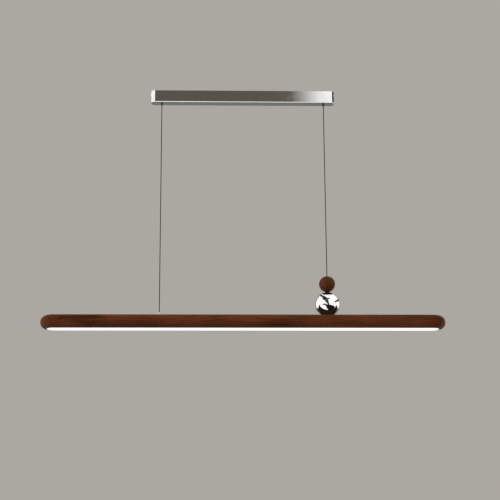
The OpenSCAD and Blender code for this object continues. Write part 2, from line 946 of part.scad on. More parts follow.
module chrome_ball() {
  flats = chrome_ball_d - 2 * seat_cut;
  color(polished)
    at_right()
      translate([0, 0, chrome_ball_mid])
        difference() {
          intersection() {
            sphere(d = chrome_ball_d);
            cube([chrome_ball_d, chrome_ball_d, flats], center = true);
          }
          sphere(d = chrome_ball_d - 2 * chrome_ball_wall);
          cylinder(d = stud_hole_d, h = chrome_ball_d, center = true);
        }
}

module ball_collar() {
  color(black)
    at_right()
      translate([0, 0, collar_bottom])
        ring(collar_d, collar_t, stud_hole_d);
}

module wood_ball() {
  bottom = wood_ball_mid - wood_ball_d / 2;
  color(walnut)
    at_right()
      difference() {
        translate([0, 0, wood_ball_mid])
          sphere(d = wood_ball_d);
        translate([-wood_ball_d / 2, -wood_ball_d / 2, bottom - cut])
          cube([wood_ball_d, wood_ball_d, seat_cut + cut]);
        translate([0, 0, bottom - cut])
          cylinder(d = stud_hole_d, h = stem_top + stem_end_gap - bottom + cut);
        translate([0, 0, wood_ball_mid])
          cylinder(d = wire_bore_d, h = wood_ball_d);
      }
}

ceiling_strap();
canopy_cover();
cover_screws();
led_driver();
strap_screws();
terminal_block();
terminal_screws();
earth_screw();
supply_leads();
left_output_lead();
right_output_lead();
left_splice();
right_splice();
left_wire_tail();
right_wire_tail();
left_grip_body();
right_grip_body();
left_grip_nut();
right_grip_nut();
left_grip_spring();
right_grip_spring();
left_grip_nozzle();
right_grip_nozzle();
left_lock_balls();
right_lock_balls();
left_wire_bend();
left_wire();
left_wire_foot();
right_wire_bend();
right_wire();
wood_bar();
led_channel();
channel_screws();
led_boards();
led_chips();
diffuser();
left_ferrule();
left_stud_washer();
left_stud_nut();
left_wire_stop();
left_wire_end();
left_bar_leads();
right_stem();
right_stem_washer();
right_stem_nut();
right_wire_stop();
right_wire_end();
right_bar_leads();
chrome_ball();
ball_collar();
wood_ball();
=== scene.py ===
"""Linear pendant lamp: a walnut bar with a lit underside, hung on two wires from a polished canopy.

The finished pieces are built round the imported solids, every solid that stays in view is dressed, and a
plain studio is set round the lamp. All places are metres in the lamp's own frame, +Z up, origin on the
ceiling at the middle of the canopy.
"""

import json
import logging
import math
from collections.abc import Iterable, Sequence
from dataclasses import dataclass, field
from enum import Enum
from typing import ClassVar

import bmesh
import bpy
from mathutils import Matrix, Vector


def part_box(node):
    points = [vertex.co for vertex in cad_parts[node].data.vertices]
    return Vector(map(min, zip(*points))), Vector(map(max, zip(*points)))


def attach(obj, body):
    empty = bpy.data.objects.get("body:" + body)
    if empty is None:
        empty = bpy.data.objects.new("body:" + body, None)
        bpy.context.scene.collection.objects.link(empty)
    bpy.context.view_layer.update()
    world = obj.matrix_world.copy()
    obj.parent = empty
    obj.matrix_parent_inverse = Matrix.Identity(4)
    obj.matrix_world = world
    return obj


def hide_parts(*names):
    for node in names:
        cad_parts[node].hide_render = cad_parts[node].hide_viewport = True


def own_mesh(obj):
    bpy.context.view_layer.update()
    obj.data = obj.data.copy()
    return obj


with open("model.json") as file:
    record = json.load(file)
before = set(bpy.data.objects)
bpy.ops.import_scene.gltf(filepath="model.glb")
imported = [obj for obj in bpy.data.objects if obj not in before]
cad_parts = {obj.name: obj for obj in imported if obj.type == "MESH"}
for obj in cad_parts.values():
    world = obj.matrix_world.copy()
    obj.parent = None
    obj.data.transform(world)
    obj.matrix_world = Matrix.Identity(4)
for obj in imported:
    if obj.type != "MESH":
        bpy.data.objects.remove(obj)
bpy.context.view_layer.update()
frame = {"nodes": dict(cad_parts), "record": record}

LOG = logging.getLogger("pendant_lamp")
MM = 0.001

Point = tuple[float, float, float]
Span = tuple[float, float]
Outline = list[Span]
Colour = tuple[float, float, float]
Object = bpy.types.Object
Material = bpy.types.Material
Ring = list[bmesh.types.BMVert]
Socket = bpy.types.NodeSocket
BandRow = tuple[float, float, float, float, float]


class Side(Enum):
    """Which of the two wires a piece belongs to, with its sign along X."""

    LEFT = -1
    RIGHT = 1

    def part(self, name: str) -> str:
        """The name of a piece, node, body or joint on this side."""
        return f"{self.name.lower()}_{name}"


class Grain(Enum):
    """Which way the wood's fibres run, as a turn of the grain's own X axis."""

    ALONG = (0.0, 0.0, 0.0)
    UPRIGHT = (0.0, math.pi / 2, 0.0)


@dataclass(frozen=True)
class NodeBox:
    """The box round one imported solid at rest."""

    low: Vector
    high: Vector

    @classmethod
    def of(cls, node: str) -> "NodeBox":
        """The box of the node with this name."""
        return cls(*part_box(node))

    @property
    def length(self) -> float:
        """The box's size along X."""
        return self.high.x - self.low.x

    @property
    def width(self) -> float:
        """The box's size along Y."""
        return self.high.y - self.low.y

    @property
    def height(self) -> float:
        """The box's size along Z."""
        return self.high.z - self.low.z

    @property
    def radius(self) -> float:
        """The radius of a turned solid."""
        return self.length / 2

    @property
    def x(self) -> float:
        """The middle of the box along X."""
        return (self.low.x + self.high.x) / 2

    @property
    def z(self) -> float:
        """The middle of the box along Z."""
        return (self.low.z + self.high.z) / 2


# Mesh making


class Shape:
    """A mesh in the making, from rings of points that are skinned and filled."""

    def __init__(self) -> None:
        """Starts with no points."""
        self.bm = bmesh.new()

    def ring(self, points: Iterable[Sequence[float]]) -> Ring:
        """Adds the points of one ring, in order."""
        return [self.bm.verts.new(p) for p in points]

    def skin(self, rings: Sequence[Ring], round_again: bool = False) -> None:
        """Joins each ring to the next with quads.

        Args:
            rings: Rings with the same number of points.
            round_again: Whether the last ring is joined to the first.
        """
        following = [*rings[1:], rings[0]] if round_again else rings[1:]
        for low, high in zip(rings, following):
            for i in range(len(low)):
                j = (i + 1) % len(low)
                self.bm.faces.new((low[i], low[j], high[j], high[i]))

    def fill(self, outer: Ring, holes: Sequence[Ring] = ()) -> None:
        """Fills a flat outline and leaves its holes open.

        Args:
            outer: The outline's vertices.
            holes: The vertices of each hole inside it.
        """
        edges = []
        for loop in (outer, *holes):
            for a, b in zip(loop, [*loop[1:], loop[0]]):
                edges.append(self.bm.edges.get((a, b)) or self.bm.edges.new((a, b)))
        bmesh.ops.triangle_fill(self.bm, edges=edges, use_beauty=True)

    def close_with_holes(self, rings: Sequence[Ring], hole_x: float, hole_r: float, heights: Span) -> None:
        """Fills the first and the last ring and bores an upright hole for each wire between them.

        Args:
            rings: The rings of a skin.
            hole_x: How far each hole stands from the lamp's middle.
            hole_r: The holes' radius.
            heights: The heights of the first and the last ring.
        """
        holes = [[self.ring(circle(side.value * hole_x, hole_r, z)) for side in Side] for z in heights]
        self.fill(rings[0], holes[0])
        self.fill(rings[-1], holes[1])
        for first, last in zip(*holes):
            self.skin([first, last])

    def finish(self, name: str, sharp_deg: float = 35.0) -> Object:
        """Turns the shape into an object with smooth faces and sharp edges.

        Args:
            name: The object's name.
            sharp_deg: The angle between faces from which their edge is sharp.

        Returns:
            The new object, linked to the scene.
        """
        bmesh.ops.recalc_face_normals(self.bm, faces=self.bm.faces)
        mesh = bpy.data.meshes.new(name)
        self.bm.to_mesh(mesh)
        self.bm.free()
        mesh.polygons.foreach_set("use_smooth", [True] * len(mesh.polygons))
        mesh.set_sharp_from_angle(angle=math.radians(sharp_deg))
        piece = bpy.data.objects.new(name, mesh)
        bpy.context.scene.collection.objects.link(piece)
        return piece


def whole_turn(steps: int) -> list[float]:
    """Even angles round a full circle, in radians."""
    return [2 * math.pi * k / steps for k in range(steps)]


def arc(centre: Span, radius: float, start: float, end: float, steps: int) -> Outline:
    """Points along an arc from one angle to another in degrees, both ends included."""
    angles = [math.radians(start + (end - start) * k / steps) for k in range(steps + 1)]
    return [(centre[0] + radius * math.cos(a), centre[1] + radius * math.sin(a)) for a in angles]


def bend(start: Vector, corner: Vector, end: Vector, steps: int) -> list[Vector]:
    """Points along a smooth bend that rounds a corner, from a point before it to one after it."""
    places = [k / steps for k in range(steps + 1)]
    return [start * (1 - t) ** 2 + corner * 2 * t * (1 - t) + end * t * t for t in places]


def softened(outline: Outline, setback: float, steps: int = 4) -> Outline:
    """Rounds every corner of a closed outline a little.

    Args:
        outline: The outline's corners in order.
        setback: How far from a corner its round starts, at most a third of an edge.
        steps: How many chords each round has.

    Returns:
        The rounded outline.
    """
    rounded: Outline = []
    for i, corner in enumerate(outline):
        here = Vector(corner)
        before = Vector(outline[i - 1]) - here
        after = Vector(outline[(i + 1) % len(outline)]) - here
        start = here + before.normalized() * min(setback, before.length / 3)
        end = here + after.normalized() * min(setback, after.length / 3)
        rounded += [(p.x, p.y) for p in bend(start, here, end, steps)]
    return rounded


def eased(corners: Sequence[Point], turn: float, steps: int = 8) -> list[Vector]:
    """Rounds the inner corners of a route.

    Args:
        corners: The route's points.
        turn: How far from a corner its bend starts.
        steps: How many chords each bend has.

    Returns:
        The points of the smooth route.
    """
    points = [Vector(c) for c in corners]
    route = [points[0]]
    for before, here, after in zip(points, points[1:], points[2:]):
        start = here + (before - here).normalized() * turn
        end = here + (after - here).normalized() * turn
        route += bend(start, here, end, steps)
    route.append(points[-1])
    return route


def plumb(x: float, heights: Span, steps: int) -> list[Vector]:
    """Evenly spaced points straight down from the first height to the second."""
    top, bottom = heights
    return [Vector((x, 0.0, top + (bottom - top) * k / steps)) for k in range(steps + 1)]


def thread(radius: float, heights: Span, pitch: float, depth: float) -> Outline:
    """The side of a threaded rod as a row of grooves.

    Args:
        radius: The rod's radius over the crests.
        heights: The heights of the first and the last crest.
        pitch: The distance between crests.
        depth: How deep the grooves are.

    Returns:
        Crests and roots in order.
    """
    start, end = heights
    turns = max(1, round(abs(end - start) / pitch))
    side: Outline = []
    for k in range(turns):
        side.append((radius, start + (end - start) * k / turns))
        side.append((radius - depth, start + (end - start) * (k + 0.5) / turns))
    side.append((radius, end))
    return side


def circle(x: float, radius: float, z: float, segments: int = 48) -> list[Point]:
    """Points round a level circle on the lamp's middle plane."""
    return [(x + radius * math.cos(a), radius * math.sin(a), z) for a in whole_turn(segments)]


def lathe(name: str, outline: Outline, x: float, segments: int = 96) -> Object:
    """Turns a closed outline about an upright axis.

    Args:
        name: The piece's name.
        outline: Radius and height of each corner, in order round the section.
        x: Where the axis stands along the lamp.
        segments: How many steps the turn has.

    Returns:
        The turned piece.
    """
    shape = Shape()
    shape.skin([shape.ring(circle(x, r, z, segments)) for r, z in outline], round_again=True)
    return shape.finish(name)


def stadium(straight: float, radius: float, z: float, steps: int = 40) -> list[Point]:
    """Points against the clock round a level stadium, by the length of its sides and its ends' radius."""
    ends = ((straight / 2, -90), (-straight / 2, 90))
    return [(px, py, z) for x, a in ends for px, py in arc((x, 0.0), radius, a, a + 180, steps)]


def rounded_rectangle(
    length: float, width: float, radius: float, z: float, guard: float, steps: int = 20
) -> list[Point]:
    """Points round a level rectangle with round corners.

    Args:
        length: Its size along X.
        width: Its size along Y.
        radius: The radius of its corners.
        z: Its height.
        guard: How far along each straight side an extra point keeps the side flat beside a corner.
        steps: How many chords each corner has.

    Returns:
        The rectangle's points, against the clock.
    """
    points: list[Point] = []
    for quarter, (sx, sy) in enumerate(((1, 1), (-1, 1), (-1, -1), (1, -1))):
        centre = (sx * (length / 2 - radius), sy * (width / 2 - radius))
        start = 90 * quarter
        corner = [Vector(p) for p in arc(centre, radius, start, start + 90, steps)]
        turned = math.radians(start)
        into = Vector((math.sin(turned), -math.cos(turned)))
        out = Vector((-math.cos(turned), -math.sin(turned)))
        for p in (corner[0] + into * guard, *corner, corner[-1] + out * guard):
            points.append((p.x, p.y, z))
    return points


def tube(name: str, route: Sequence[Vector], radius: float, sides: int = 16, dome: int = 4) -> Object:
    """A round rod along a route, with domed ends.

    Args:
        name: The piece's name.
        route: The points of its centreline.
        radius: Its radius.
        sides: How many sides it has.
        dome: How many rings each domed end has.

    Returns:
        The rod.
    """
    tip = 0.02
    steep = 0.9
    last = len(route) - 1
    headings = [(route[min(i + 1, last)] - route[max(i - 1, 0)]).normalized() for i in range(len(route))]
    helper = Vector((1, 0, 0)) if abs(headings[0].z) > steep else Vector((0, 0, 1))
    across = headings[0].cross(helper).normalized()
    stations = []
    for p, heading in zip(route, headings):
        across = (across - heading * across.dot(heading)).normalized()
        stations.append((p, heading, across, radius))
    caps = [math.radians(90 * k / dome) for k in range(dome)]
    start, end = (
        [
            (p + heading * sign * radius * math.cos(a), heading, side, radius * max(math.sin(a), tip))
            for a in caps
        ]
        for sign, (p, heading, side, _) in ((-1, stations[0]), (1, stations[-1]))
    )
    shape = Shape()
    rings = []
    turn = whole_turn(sides)
    for p, heading, side, r in (*start, *stations, *reversed(end)):
        other = heading.cross(side)
        rings.append(shape.ring(p + r * (math.cos(a) * side + math.sin(a) * other) for a in turn))
    shape.skin(rings)
    shape.bm.faces.new(rings[0])
    shape.bm.faces.new(rings[-1])
    return shape.finish(name, sharp_deg=60.0)


# Shader nodes


class Nodes:
    """Short calls that add and join the nodes of one tree."""

    def __init__(self, tree: bpy.types.NodeTree) -> None:
        """Works on one node tree."""
        self.tree = tree

    def add(self, kind: str, settings: dict | None = None, inputs: dict | None = None) -> bpy.types.Node:
        """Adds a node.

        Args:
            kind: The node's type.
            settings: Its own settings by name.
            inputs: Values or sockets for its inputs, by name or number.

        Returns:
            The new node.
        """
        node = self.tree.nodes.new(kind)
        for key, value in (settings or {}).items():
            setattr(node, key, value)
        for key, value in (inputs or {}).items():
            self.feed(node.inputs[key], value)
        return node

    def feed(self, socket: Socket, value: object) -> None:
        """Links a socket into an input, or sets the input's own value.

        Args:
            socket: The input.
            value: A socket, or a number, a colour or a vector.
        """
        if isinstance(value, bpy.types.NodeSocket):
            self.tree.links.new(value, socket)
        elif isinstance(value, tuple) and socket.type == "RGBA":
            socket.default_value = (*value, 1.0)
        else:
            socket.default_value = value

    def shader(self, kind: str, inputs: dict | None = None) -> Socket:
        """The output of a new shader."""
        return self.add(kind, None, inputs).outputs[0]

    def maths(self, operation: str, a: object, b: object = 0.0, c: object = 0.0) -> Socket:
        """The result of one step of arithmetic on values or sockets."""
        return self.add("ShaderNodeMath", {"operation": operation}, {0: a, 1: b, 2: c}).outputs[0]

    def vector(self, operation: str, a: object, b: object) -> Socket:
        """The result of one step of vector arithmetic."""
        return self.add("ShaderNodeVectorMath", {"operation": operation}, {0: a, 1: b}).outputs[0]

    def split(self, vector: Socket) -> bpy.types.NodeOutputs:
        """The three parts of a vector."""
        return self.add("ShaderNodeSeparateXYZ", None, {0: vector}).outputs

    def coordinates(self, kind: str) -> Socket:
        """One kind of coordinates of the shaded point."""
        return self.add("ShaderNodeTexCoord").outputs[kind]

    def blend(self, factor: object, a: object, b: object) -> Socket:
        """Two colours mixed by a factor."""
        settings = {"data_type": "RGBA", "blend_type": "MIX"}
        return self.add("ShaderNodeMix", settings, {0: factor, 6: a, 7: b}).outputs[2]

    def noise(self, vector: Socket, scale: object, detail: float = 3.0, roughness: float = 0.5) -> Socket:
        """A noise value over a vector."""
        inputs = {"Vector": vector, "Scale": scale, "Detail": detail, "Roughness": roughness}
        return self.add("ShaderNodeTexNoise", None, inputs).outputs[0]

    def streaks(self, vector: Socket, scales: Point, detail: float, roughness: float = 0.5) -> Socket:
        """A noise value with its own scale along each axis."""
        return self.noise(self.vector("MULTIPLY", vector, scales), 1.0, detail, roughness)

    def spread(self, value: object, low: float, high: float, to_low: float, to_high: float) -> Socket:
        """A value moved from one span to another and held inside it."""
        inputs = {0: value, 1: low, 2: high, 3: to_low, 4: to_high}
        return self.add("ShaderNodeMapRange", {"clamp": True}, inputs).outputs[0]

    def ramp(self, value: object, stops: Sequence[Span]) -> Socket:
        """A ramp of greys over a value.

        Args:
            value: The socket that drives the ramp.
            stops: Places and tones from 0 to 1.

        Returns:
            The ramp's grey.
        """
        node = self.add("ShaderNodeValToRGB", None, {0: value})
        elements = node.color_ramp.elements
        while len(elements) < len(stops):
            elements.new(0.5)
        for element, (place, tone) in zip(elements, stops):
            element.position = place
            element.color = (tone, tone, tone, 1.0)
        return node.outputs[0]

    def bump(self, height: Socket, depth_mm: float, strength: float) -> Socket:
        """A normal bent by a height, with the depth of a height of 1 in millimetres."""
        inputs = {"Height": height, "Distance": depth_mm * MM, "Strength": strength}
        return self.add("ShaderNodeBump", None, inputs).outputs[0]

    def place_of_point(self, turn: Point = (0.0, 0.0, 0.0)) -> Socket:
        """The shaded point in the lamp's frame, in millimetres, turned about each axis if asked."""
        inputs = {"Vector": self.coordinates("Object"), "Rotation": turn, "Scale": (1 / MM, 1 / MM, 1 / MM)}
        return self.add("ShaderNodeMapping", None, inputs).outputs[0]


def new_material(name: str, keep_shader: bool = False) -> tuple[Material, Nodes]:
    """Makes a material with nodes.

    Args:
        name: The material's name.
        keep_shader: Whether its first surface shader and output stay.

    Returns:
        The material and its nodes.
    """
    material = bpy.data.materials.new(name)
    material.use_nodes = True
    if not keep_shader:
        material.node_tree.nodes.clear()
    return material, Nodes(material.node_tree)


FLOAT = "NodeSocketFloat"
VECTOR = "NodeSocketVector"
COLOUR = "NodeSocketColor"


@dataclass(frozen=True)
class Effect:
    """A surface effect that several finishes share, kept as one node group."""

    name: str
    inputs: dict[str, str]
    outputs: dict[str, str]

    def group(self) -> bpy.types.NodeTree:
        """Makes the effect's node group at its first use.

        Returns:
            The node group.
        """
        made = bpy.data.node_groups.get(self.name)
        if made:
            return made
        tree = bpy.data.node_groups.new(self.name, "ShaderNodeTree")
        for way, sockets in (("INPUT", self.inputs), ("OUTPUT", self.outputs)):
            for name, kind in sockets.items():
                tree.interface.new_socket(name=name, in_out=way, socket_type=kind)
        nodes = Nodes(tree)
        entry = nodes.add("NodeGroupInput").outputs
        nodes.add("NodeGroupOutput", None, self.wire(nodes, entry))
        return tree

    def wire(self, nodes: Nodes, entry: bpy.types.NodeOutputs) -> dict[str, Socket]:
        """Builds the effect and gives the socket for each of the group's outputs."""
        raise NotImplementedError

    def use(self, nodes: Nodes, **inputs: object) -> bpy.types.NodeOutputs:
        """Places the group in a material, with values or sockets for its inputs."""
        return nodes.add("ShaderNodeGroup", {"node_tree": self.group()}, inputs).outputs


class WoodFigure(Effect):
    """Growth rings, fibres and pores of a sawn plank whose fibres run along X."""

    drift_scales = (0.0035, 0.012, 0.012)
    fibre_scales = (0.018, 0.9, 0.9)
    pore_scales = (0.07, 2.6, 2.6)
    patch_scales = (0.006, 0.03, 0.03)
    year_tones = ((0.0, 0.0), (0.62, 0.35), (0.9, 1.0), (1.0, 0.0))
    winding_turn = 0.0115
    winding_mm = 5.0
    run_out = 0.02
    drift_y_mm = 16.0
    drift_z_mm = 18.0
    late_tone = -0.55
    fibre_tone = (0.3, 0.7, -0.05, 0.65)
    patch_tone = (0.32, 0.68, 0.0, 0.9)
    pore_edge = (0.60, 0.72, 0.0, 1.0)
    pore_tone = 0.6
    pore_roughness = 0.14
    fibre_roughness = (0.2, 0.8, 0.40, 0.54)
    fibre_height = 0.5

    def wire(self, nodes: Nodes, entry: bpy.types.NodeOutputs) -> dict[str, Socket]:
        """Builds rings about a slowly winding heart that runs askew, and fine streaks along the fibres.

        Args:
            nodes: The group's nodes.
            entry: The sockets that bring the group's inputs.

        Returns:
            The wood's colour, roughness and height.
        """
        p = nodes.vector("SUBTRACT", entry["Vector"], entry["Heart"])
        drift = nodes.streaks(p, self.drift_scales, 2.0)
        x, y, z = nodes.split(p)
        winding = nodes.maths("SINE", nodes.maths("MULTIPLY", x, self.winding_turn))
        askew = nodes.maths("MULTIPLY_ADD", x, self.run_out, y)
        from_heart_y = nodes.maths("MULTIPLY_ADD", drift, self.drift_y_mm, askew)
        drifted_z = nodes.maths("MULTIPLY_ADD", drift, self.drift_z_mm, z)
        from_heart_z = nodes.maths("MULTIPLY_ADD", winding, self.winding_mm, drifted_z)
        squares = [nodes.maths("MULTIPLY", way, way) for way in (from_heart_y, from_heart_z)]
        distance = nodes.maths("SQRT", nodes.maths("ADD", *squares))
        year = nodes.maths("FRACT", nodes.maths("DIVIDE", distance, entry["Spacing"]))
        late = nodes.ramp(year, self.year_tones)
        fibre = nodes.streaks(p, self.fibre_scales, 6.0, 0.62)
        pores = nodes.spread(nodes.streaks(p, self.pore_scales, 2.0), *self.pore_edge)
        patch = nodes.streaks(p, self.patch_scales, 2.0)
        tone = nodes.maths("MULTIPLY_ADD", late, self.late_tone, nodes.spread(fibre, *self.fibre_tone))
        tone = nodes.maths("ADD", tone, nodes.spread(patch, *self.patch_tone))
        wood = nodes.blend(nodes.spread(tone, 0.0, 1.0, 0.0, 1.0), entry["Dark"], entry["Light"])
        wood = nodes.blend(nodes.maths("MULTIPLY", pores, self.pore_tone), wood, entry["Pore"])
        rough = nodes.spread(fibre, *self.fibre_roughness)
        rough = nodes.maths("MULTIPLY_ADD", pores, self.pore_roughness, rough)
        height = nodes.maths("MULTIPLY", fibre, self.fibre_height)
        height = nodes.maths("MULTIPLY_ADD", pores, -1.0, height)
        return {"Color": wood, "Roughness": rough, "Height": height}


class Smudges(Effect):
    """Faint handling marks and fine scratches on a smooth surface."""

    line_scales = (0.05, 0.9, 1.4)
    line_tone = (0.35, 0.65, 0.4, 1.0)
    cloud_scale = 0.035
    cloud_tone = (0.42, 0.7, 0.0, 1.0)

    def wire(self, nodes: Nodes, entry: bpy.types.NodeOutputs) -> dict[str, Socket]:
        """Builds cloudy marks with short fine lines in them.

        Args:
            nodes: The group's nodes.
            entry: The sockets that bring the group's inputs.

        Returns:
            A mask of the marks and the lines' height.
        """
        cloud = nodes.noise(entry["Vector"], self.cloud_scale, 4.0, 0.6)
        lines = nodes.streaks(entry["Vector"], self.line_scales, 3.0, 0.6)
        tones = (nodes.spread(cloud, *self.cloud_tone), nodes.spread(lines, *self.line_tone))
        return {"Mask": nodes.maths("MULTIPLY", *tones), "Height": lines}


class BrushedLines(Effect):
    """Fine straight lines left by rolling, brushing or drawing metal along X."""

    fine_scales = (0.012, 3.2, 3.2)
    fine_share = 0.7
    broad_scales = (0.006, 0.5, 0.5)
    broad_share = 0.3
    tone = (0.3, 0.7, 0.0, 1.0)

    def wire(self, nodes: Nodes, entry: bpy.types.NodeOutputs) -> dict[str, Socket]:
        """Builds long lines at two widths.

        Args:
            nodes: The group's nodes.
            entry: The sockets that bring the group's inputs.

        Returns:
            The lines' tone and their height.
        """
        fine = nodes.streaks(entry["Vector"], self.fine_scales, 4.0, 0.6)
        broad = nodes.streaks(entry["Vector"], self.broad_scales, 2.0)
        value = nodes.maths("MULTIPLY", broad, self.broad_share)
        value = nodes.maths("MULTIPLY_ADD", fine, self.fine_share, value)
        return {"Value": nodes.spread(value, *self.tone), "Height": fine}


class MouldedSkin(Effect):
    """The faint orange peel and cloudiness of moulded or coated surfaces."""

    cloud_scale = 0.05
    cloud_tone = (0.3, 0.7, 0.0, 1.0)

    def wire(self, nodes: Nodes, entry: bpy.types.NodeOutputs) -> dict[str, Socket]:
        """Builds a fine grain and a slow change of tone.

        Args:
            nodes: The group's nodes.
            entry: The sockets that bring the group's inputs.

        Returns:
            The tone and the grain's height.
        """
        peel = nodes.noise(entry["Vector"], entry["Scale"], 3.0, 0.55)
        cloud = nodes.noise(entry["Vector"], self.cloud_scale)
        return {"Tone": nodes.spread(cloud, *self.cloud_tone), "Height": peel}


WOOD_FIGURE = WoodFigure(
    "wood_figure",
    {"Vector": VECTOR, "Heart": VECTOR, "Spacing": FLOAT, "Light": COLOUR, "Dark": COLOUR, "Pore": COLOUR},
    {"Color": COLOUR, "Roughness": FLOAT, "Height": FLOAT},
)
SMUDGES = Smudges("smudges", {"Vector": VECTOR}, {"Mask": FLOAT, "Height": FLOAT})
BRUSHED_LINES = BrushedLines("brushed_lines", {"Vector": VECTOR}, {"Value": FLOAT, "Height": FLOAT})
MOULDED_SKIN = MouldedSkin(
    "moulded_skin", {"Vector": VECTOR, "Scale": FLOAT}, {"Tone": FLOAT, "Height": FLOAT}
)


# Finishes


@dataclass(frozen=True)
class Finish:
    """How one kind of surface looks."""

    name: str
    bump_mm: ClassVar[float] = 0.02
    bump_strength: ClassVar[float] = 0.25

    def material(self) -> Material:
        """Makes the finish's material at its first use.

        Returns:
            The material.
        """
        made = bpy.data.materials.get(self.name)
        if made:
            return made
        material, nodes = new_material(self.name, keep_shader=True)
        shader = material.node_tree.nodes["Principled BSDF"]
        inputs = self.surface(nodes)
        inputs["Normal"] = nodes.bump(inputs.pop("Height"), self.bump_mm, self.bump_strength)
        for name, value in inputs.items():
            nodes.feed(shader.inputs[name], value)
        return material

    def surface(self, nodes: Nodes) -> dict[str, object]:
        """Values or sockets by the name of the shader's input, and the surface's Height for the bump."""
        raise NotImplementedError


@dataclass(frozen=True)
class Walnut(Finish):
    """Oiled walnut with a satin surface."""

    grain: Grain
    heart: Point
    ring_width: float
    light: Colour = (0.102, 0.0292, 0.0102)
    dark: Colour = (0.033, 0.0088, 0.0028)
    pore: Colour = (0.012, 0.0040, 0.0018)
    sheen: float = 0.05
    bump_mm: ClassVar[float] = 0.05
    bump_strength: ClassVar[float] = 0.35

    def surface(self, nodes: Nodes) -> dict[str, object]:
        """Rings, fibres and pores.

        Args:
            nodes: The material's nodes.

        Returns:
            The shader's inputs and the Height.
        """
        place = nodes.place_of_point(self.grain.value)
        figure = WOOD_FIGURE.use(
            nodes, Vector=place, Heart=self.heart, Spacing=self.ring_width,
            Light=self.light, Dark=self.dark, Pore=self.pore,
        )
        return {
            "Base Color": figure["Color"],
            "Roughness": figure["Roughness"],
            "Specular IOR Level": self.sheen,
            "Height": figure["Height"],
        }


@dataclass(frozen=True)
class PolishedSteel(Finish):
    """Mirror-polished steel with faint handling marks."""

    colour: Colour = (0.86, 0.86, 0.85)
    shaded: Colour = (0.80, 0.80, 0.79)
    roughness: float = 0.035
    wear: float = 0.05
    bump_mm: ClassVar[float] = 0.002
    bump_strength: ClassVar[float] = 0.04

    def surface(self, nodes: Nodes) -> dict[str, object]:
        """A mirror with smudges.

        Args:
            nodes: The material's nodes.

        Returns:
            The shader's inputs and the Height.
        """
        marks = SMUDGES.use(nodes, Vector=nodes.place_of_point())
        return {
            "Base Color": nodes.blend(marks["Mask"], self.colour, self.shaded),
            "Roughness": nodes.spread(marks["Mask"], 0.0, 1.0, self.roughness, self.roughness + self.wear),
            "Metallic": 1.0,
            "Height": marks["Height"],
        }


@dataclass(frozen=True)
class DrawnMetal(Finish):
    """Rolled, drawn or plated metal with fine lines and a cloudy tone."""

    colour: Colour
    shaded: Colour
    roughness: float
    wear: float = 0.1
    cloud_scale: float = 0.4
    cloudiness: float = 0.35
    bump_mm: ClassVar[float] = 0.01

    def surface(self, nodes: Nodes) -> dict[str, object]:
        """A metal with lines and clouds.

        Args:
            nodes: The material's nodes.

        Returns:
            The shader's inputs and the Height.
        """
        place = nodes.place_of_point()
        lines = BRUSHED_LINES.use(nodes, Vector=place)
        skin = MOULDED_SKIN.use(nodes, Vector=place, Scale=self.cloud_scale)
        lined = nodes.blend(lines["Value"], self.shaded, self.colour)
        clouds = nodes.maths("MULTIPLY", skin["Tone"], self.cloudiness)
        return {
            "Base Color": nodes.blend(clouds, lined, self.shaded),
            "Roughness": nodes.spread(lines["Value"], 0.0, 1.0, self.roughness + self.wear, self.roughness),
            "Metallic": 1.0,
            "Height": lines["Height"],
        }


@dataclass(frozen=True)
class MouldedPlastic(Finish):
    """Moulded or extruded plastic with a faint skin."""

    colour: Colour
    shaded: Colour
    roughness: float
    grain: float = 1.6
    sheen: float = 0.5
    wear: float = 0.12

    def surface(self, nodes: Nodes) -> dict[str, object]:
        """A plain surface with a moulded skin and handling marks.

        Args:
            nodes: The material's nodes.

        Returns:
            The shader's inputs and the Height.
        """
        place = nodes.place_of_point()
        skin = MOULDED_SKIN.use(nodes, Vector=place, Scale=self.grain)
        marks = SMUDGES.use(nodes, Vector=place)
        return {
            "Base Color": nodes.blend(skin["Tone"], self.colour, self.shaded),
            "Roughness": nodes.spread(marks["Mask"], 0.0, 1.0, self.roughness, self.roughness + self.wear),
            "Specular IOR Level": self.sheen,
            "Height": skin["Height"],
        }


@dataclass(frozen=True)
class CoatedBlack(MouldedPlastic):
    """Satin black coating on metal, or a black sheath."""

    colour: Colour = (0.014, 0.014, 0.014)
    shaded: Colour = (0.030, 0.029, 0.028)
    roughness: float = 0.38
    grain: float = 2.5
    wear: float = 0.18
    bump_mm: ClassVar[float] = 0.03
    bump_strength: ClassVar[float] = 0.3


@dataclass(frozen=True)
class LitOpal(Finish):
    """Opal plastic, lit from behind."""

    body: Colour = (0.22, 0.22, 0.21)
    shaded: Colour = (0.19, 0.19, 0.18)
    glow: Colour = (1.0, 0.985, 0.925)
    dim: Colour = (0.97, 0.955, 0.90)
    strength: float = 0.92
    roughness: float = 0.34
    grain: float = 1.2
    bump_strength: ClassVar[float] = 0.15

    def surface(self, nodes: Nodes) -> dict[str, object]:
        """A smooth plastic with a nearly even glow.

        Args:
            nodes: The material's nodes.

        Returns:
            The shader's inputs and the Height.
        """
        skin = MOULDED_SKIN.use(nodes, Vector=nodes.place_of_point(), Scale=self.grain)
        return {
            "Base Color": nodes.blend(skin["Tone"], self.body, self.shaded),
            "Emission Color": nodes.blend(skin["Tone"], self.glow, self.dim),
            "Emission Strength": self.strength,
            "Roughness": self.roughness,
            "Height": skin["Height"],
        }


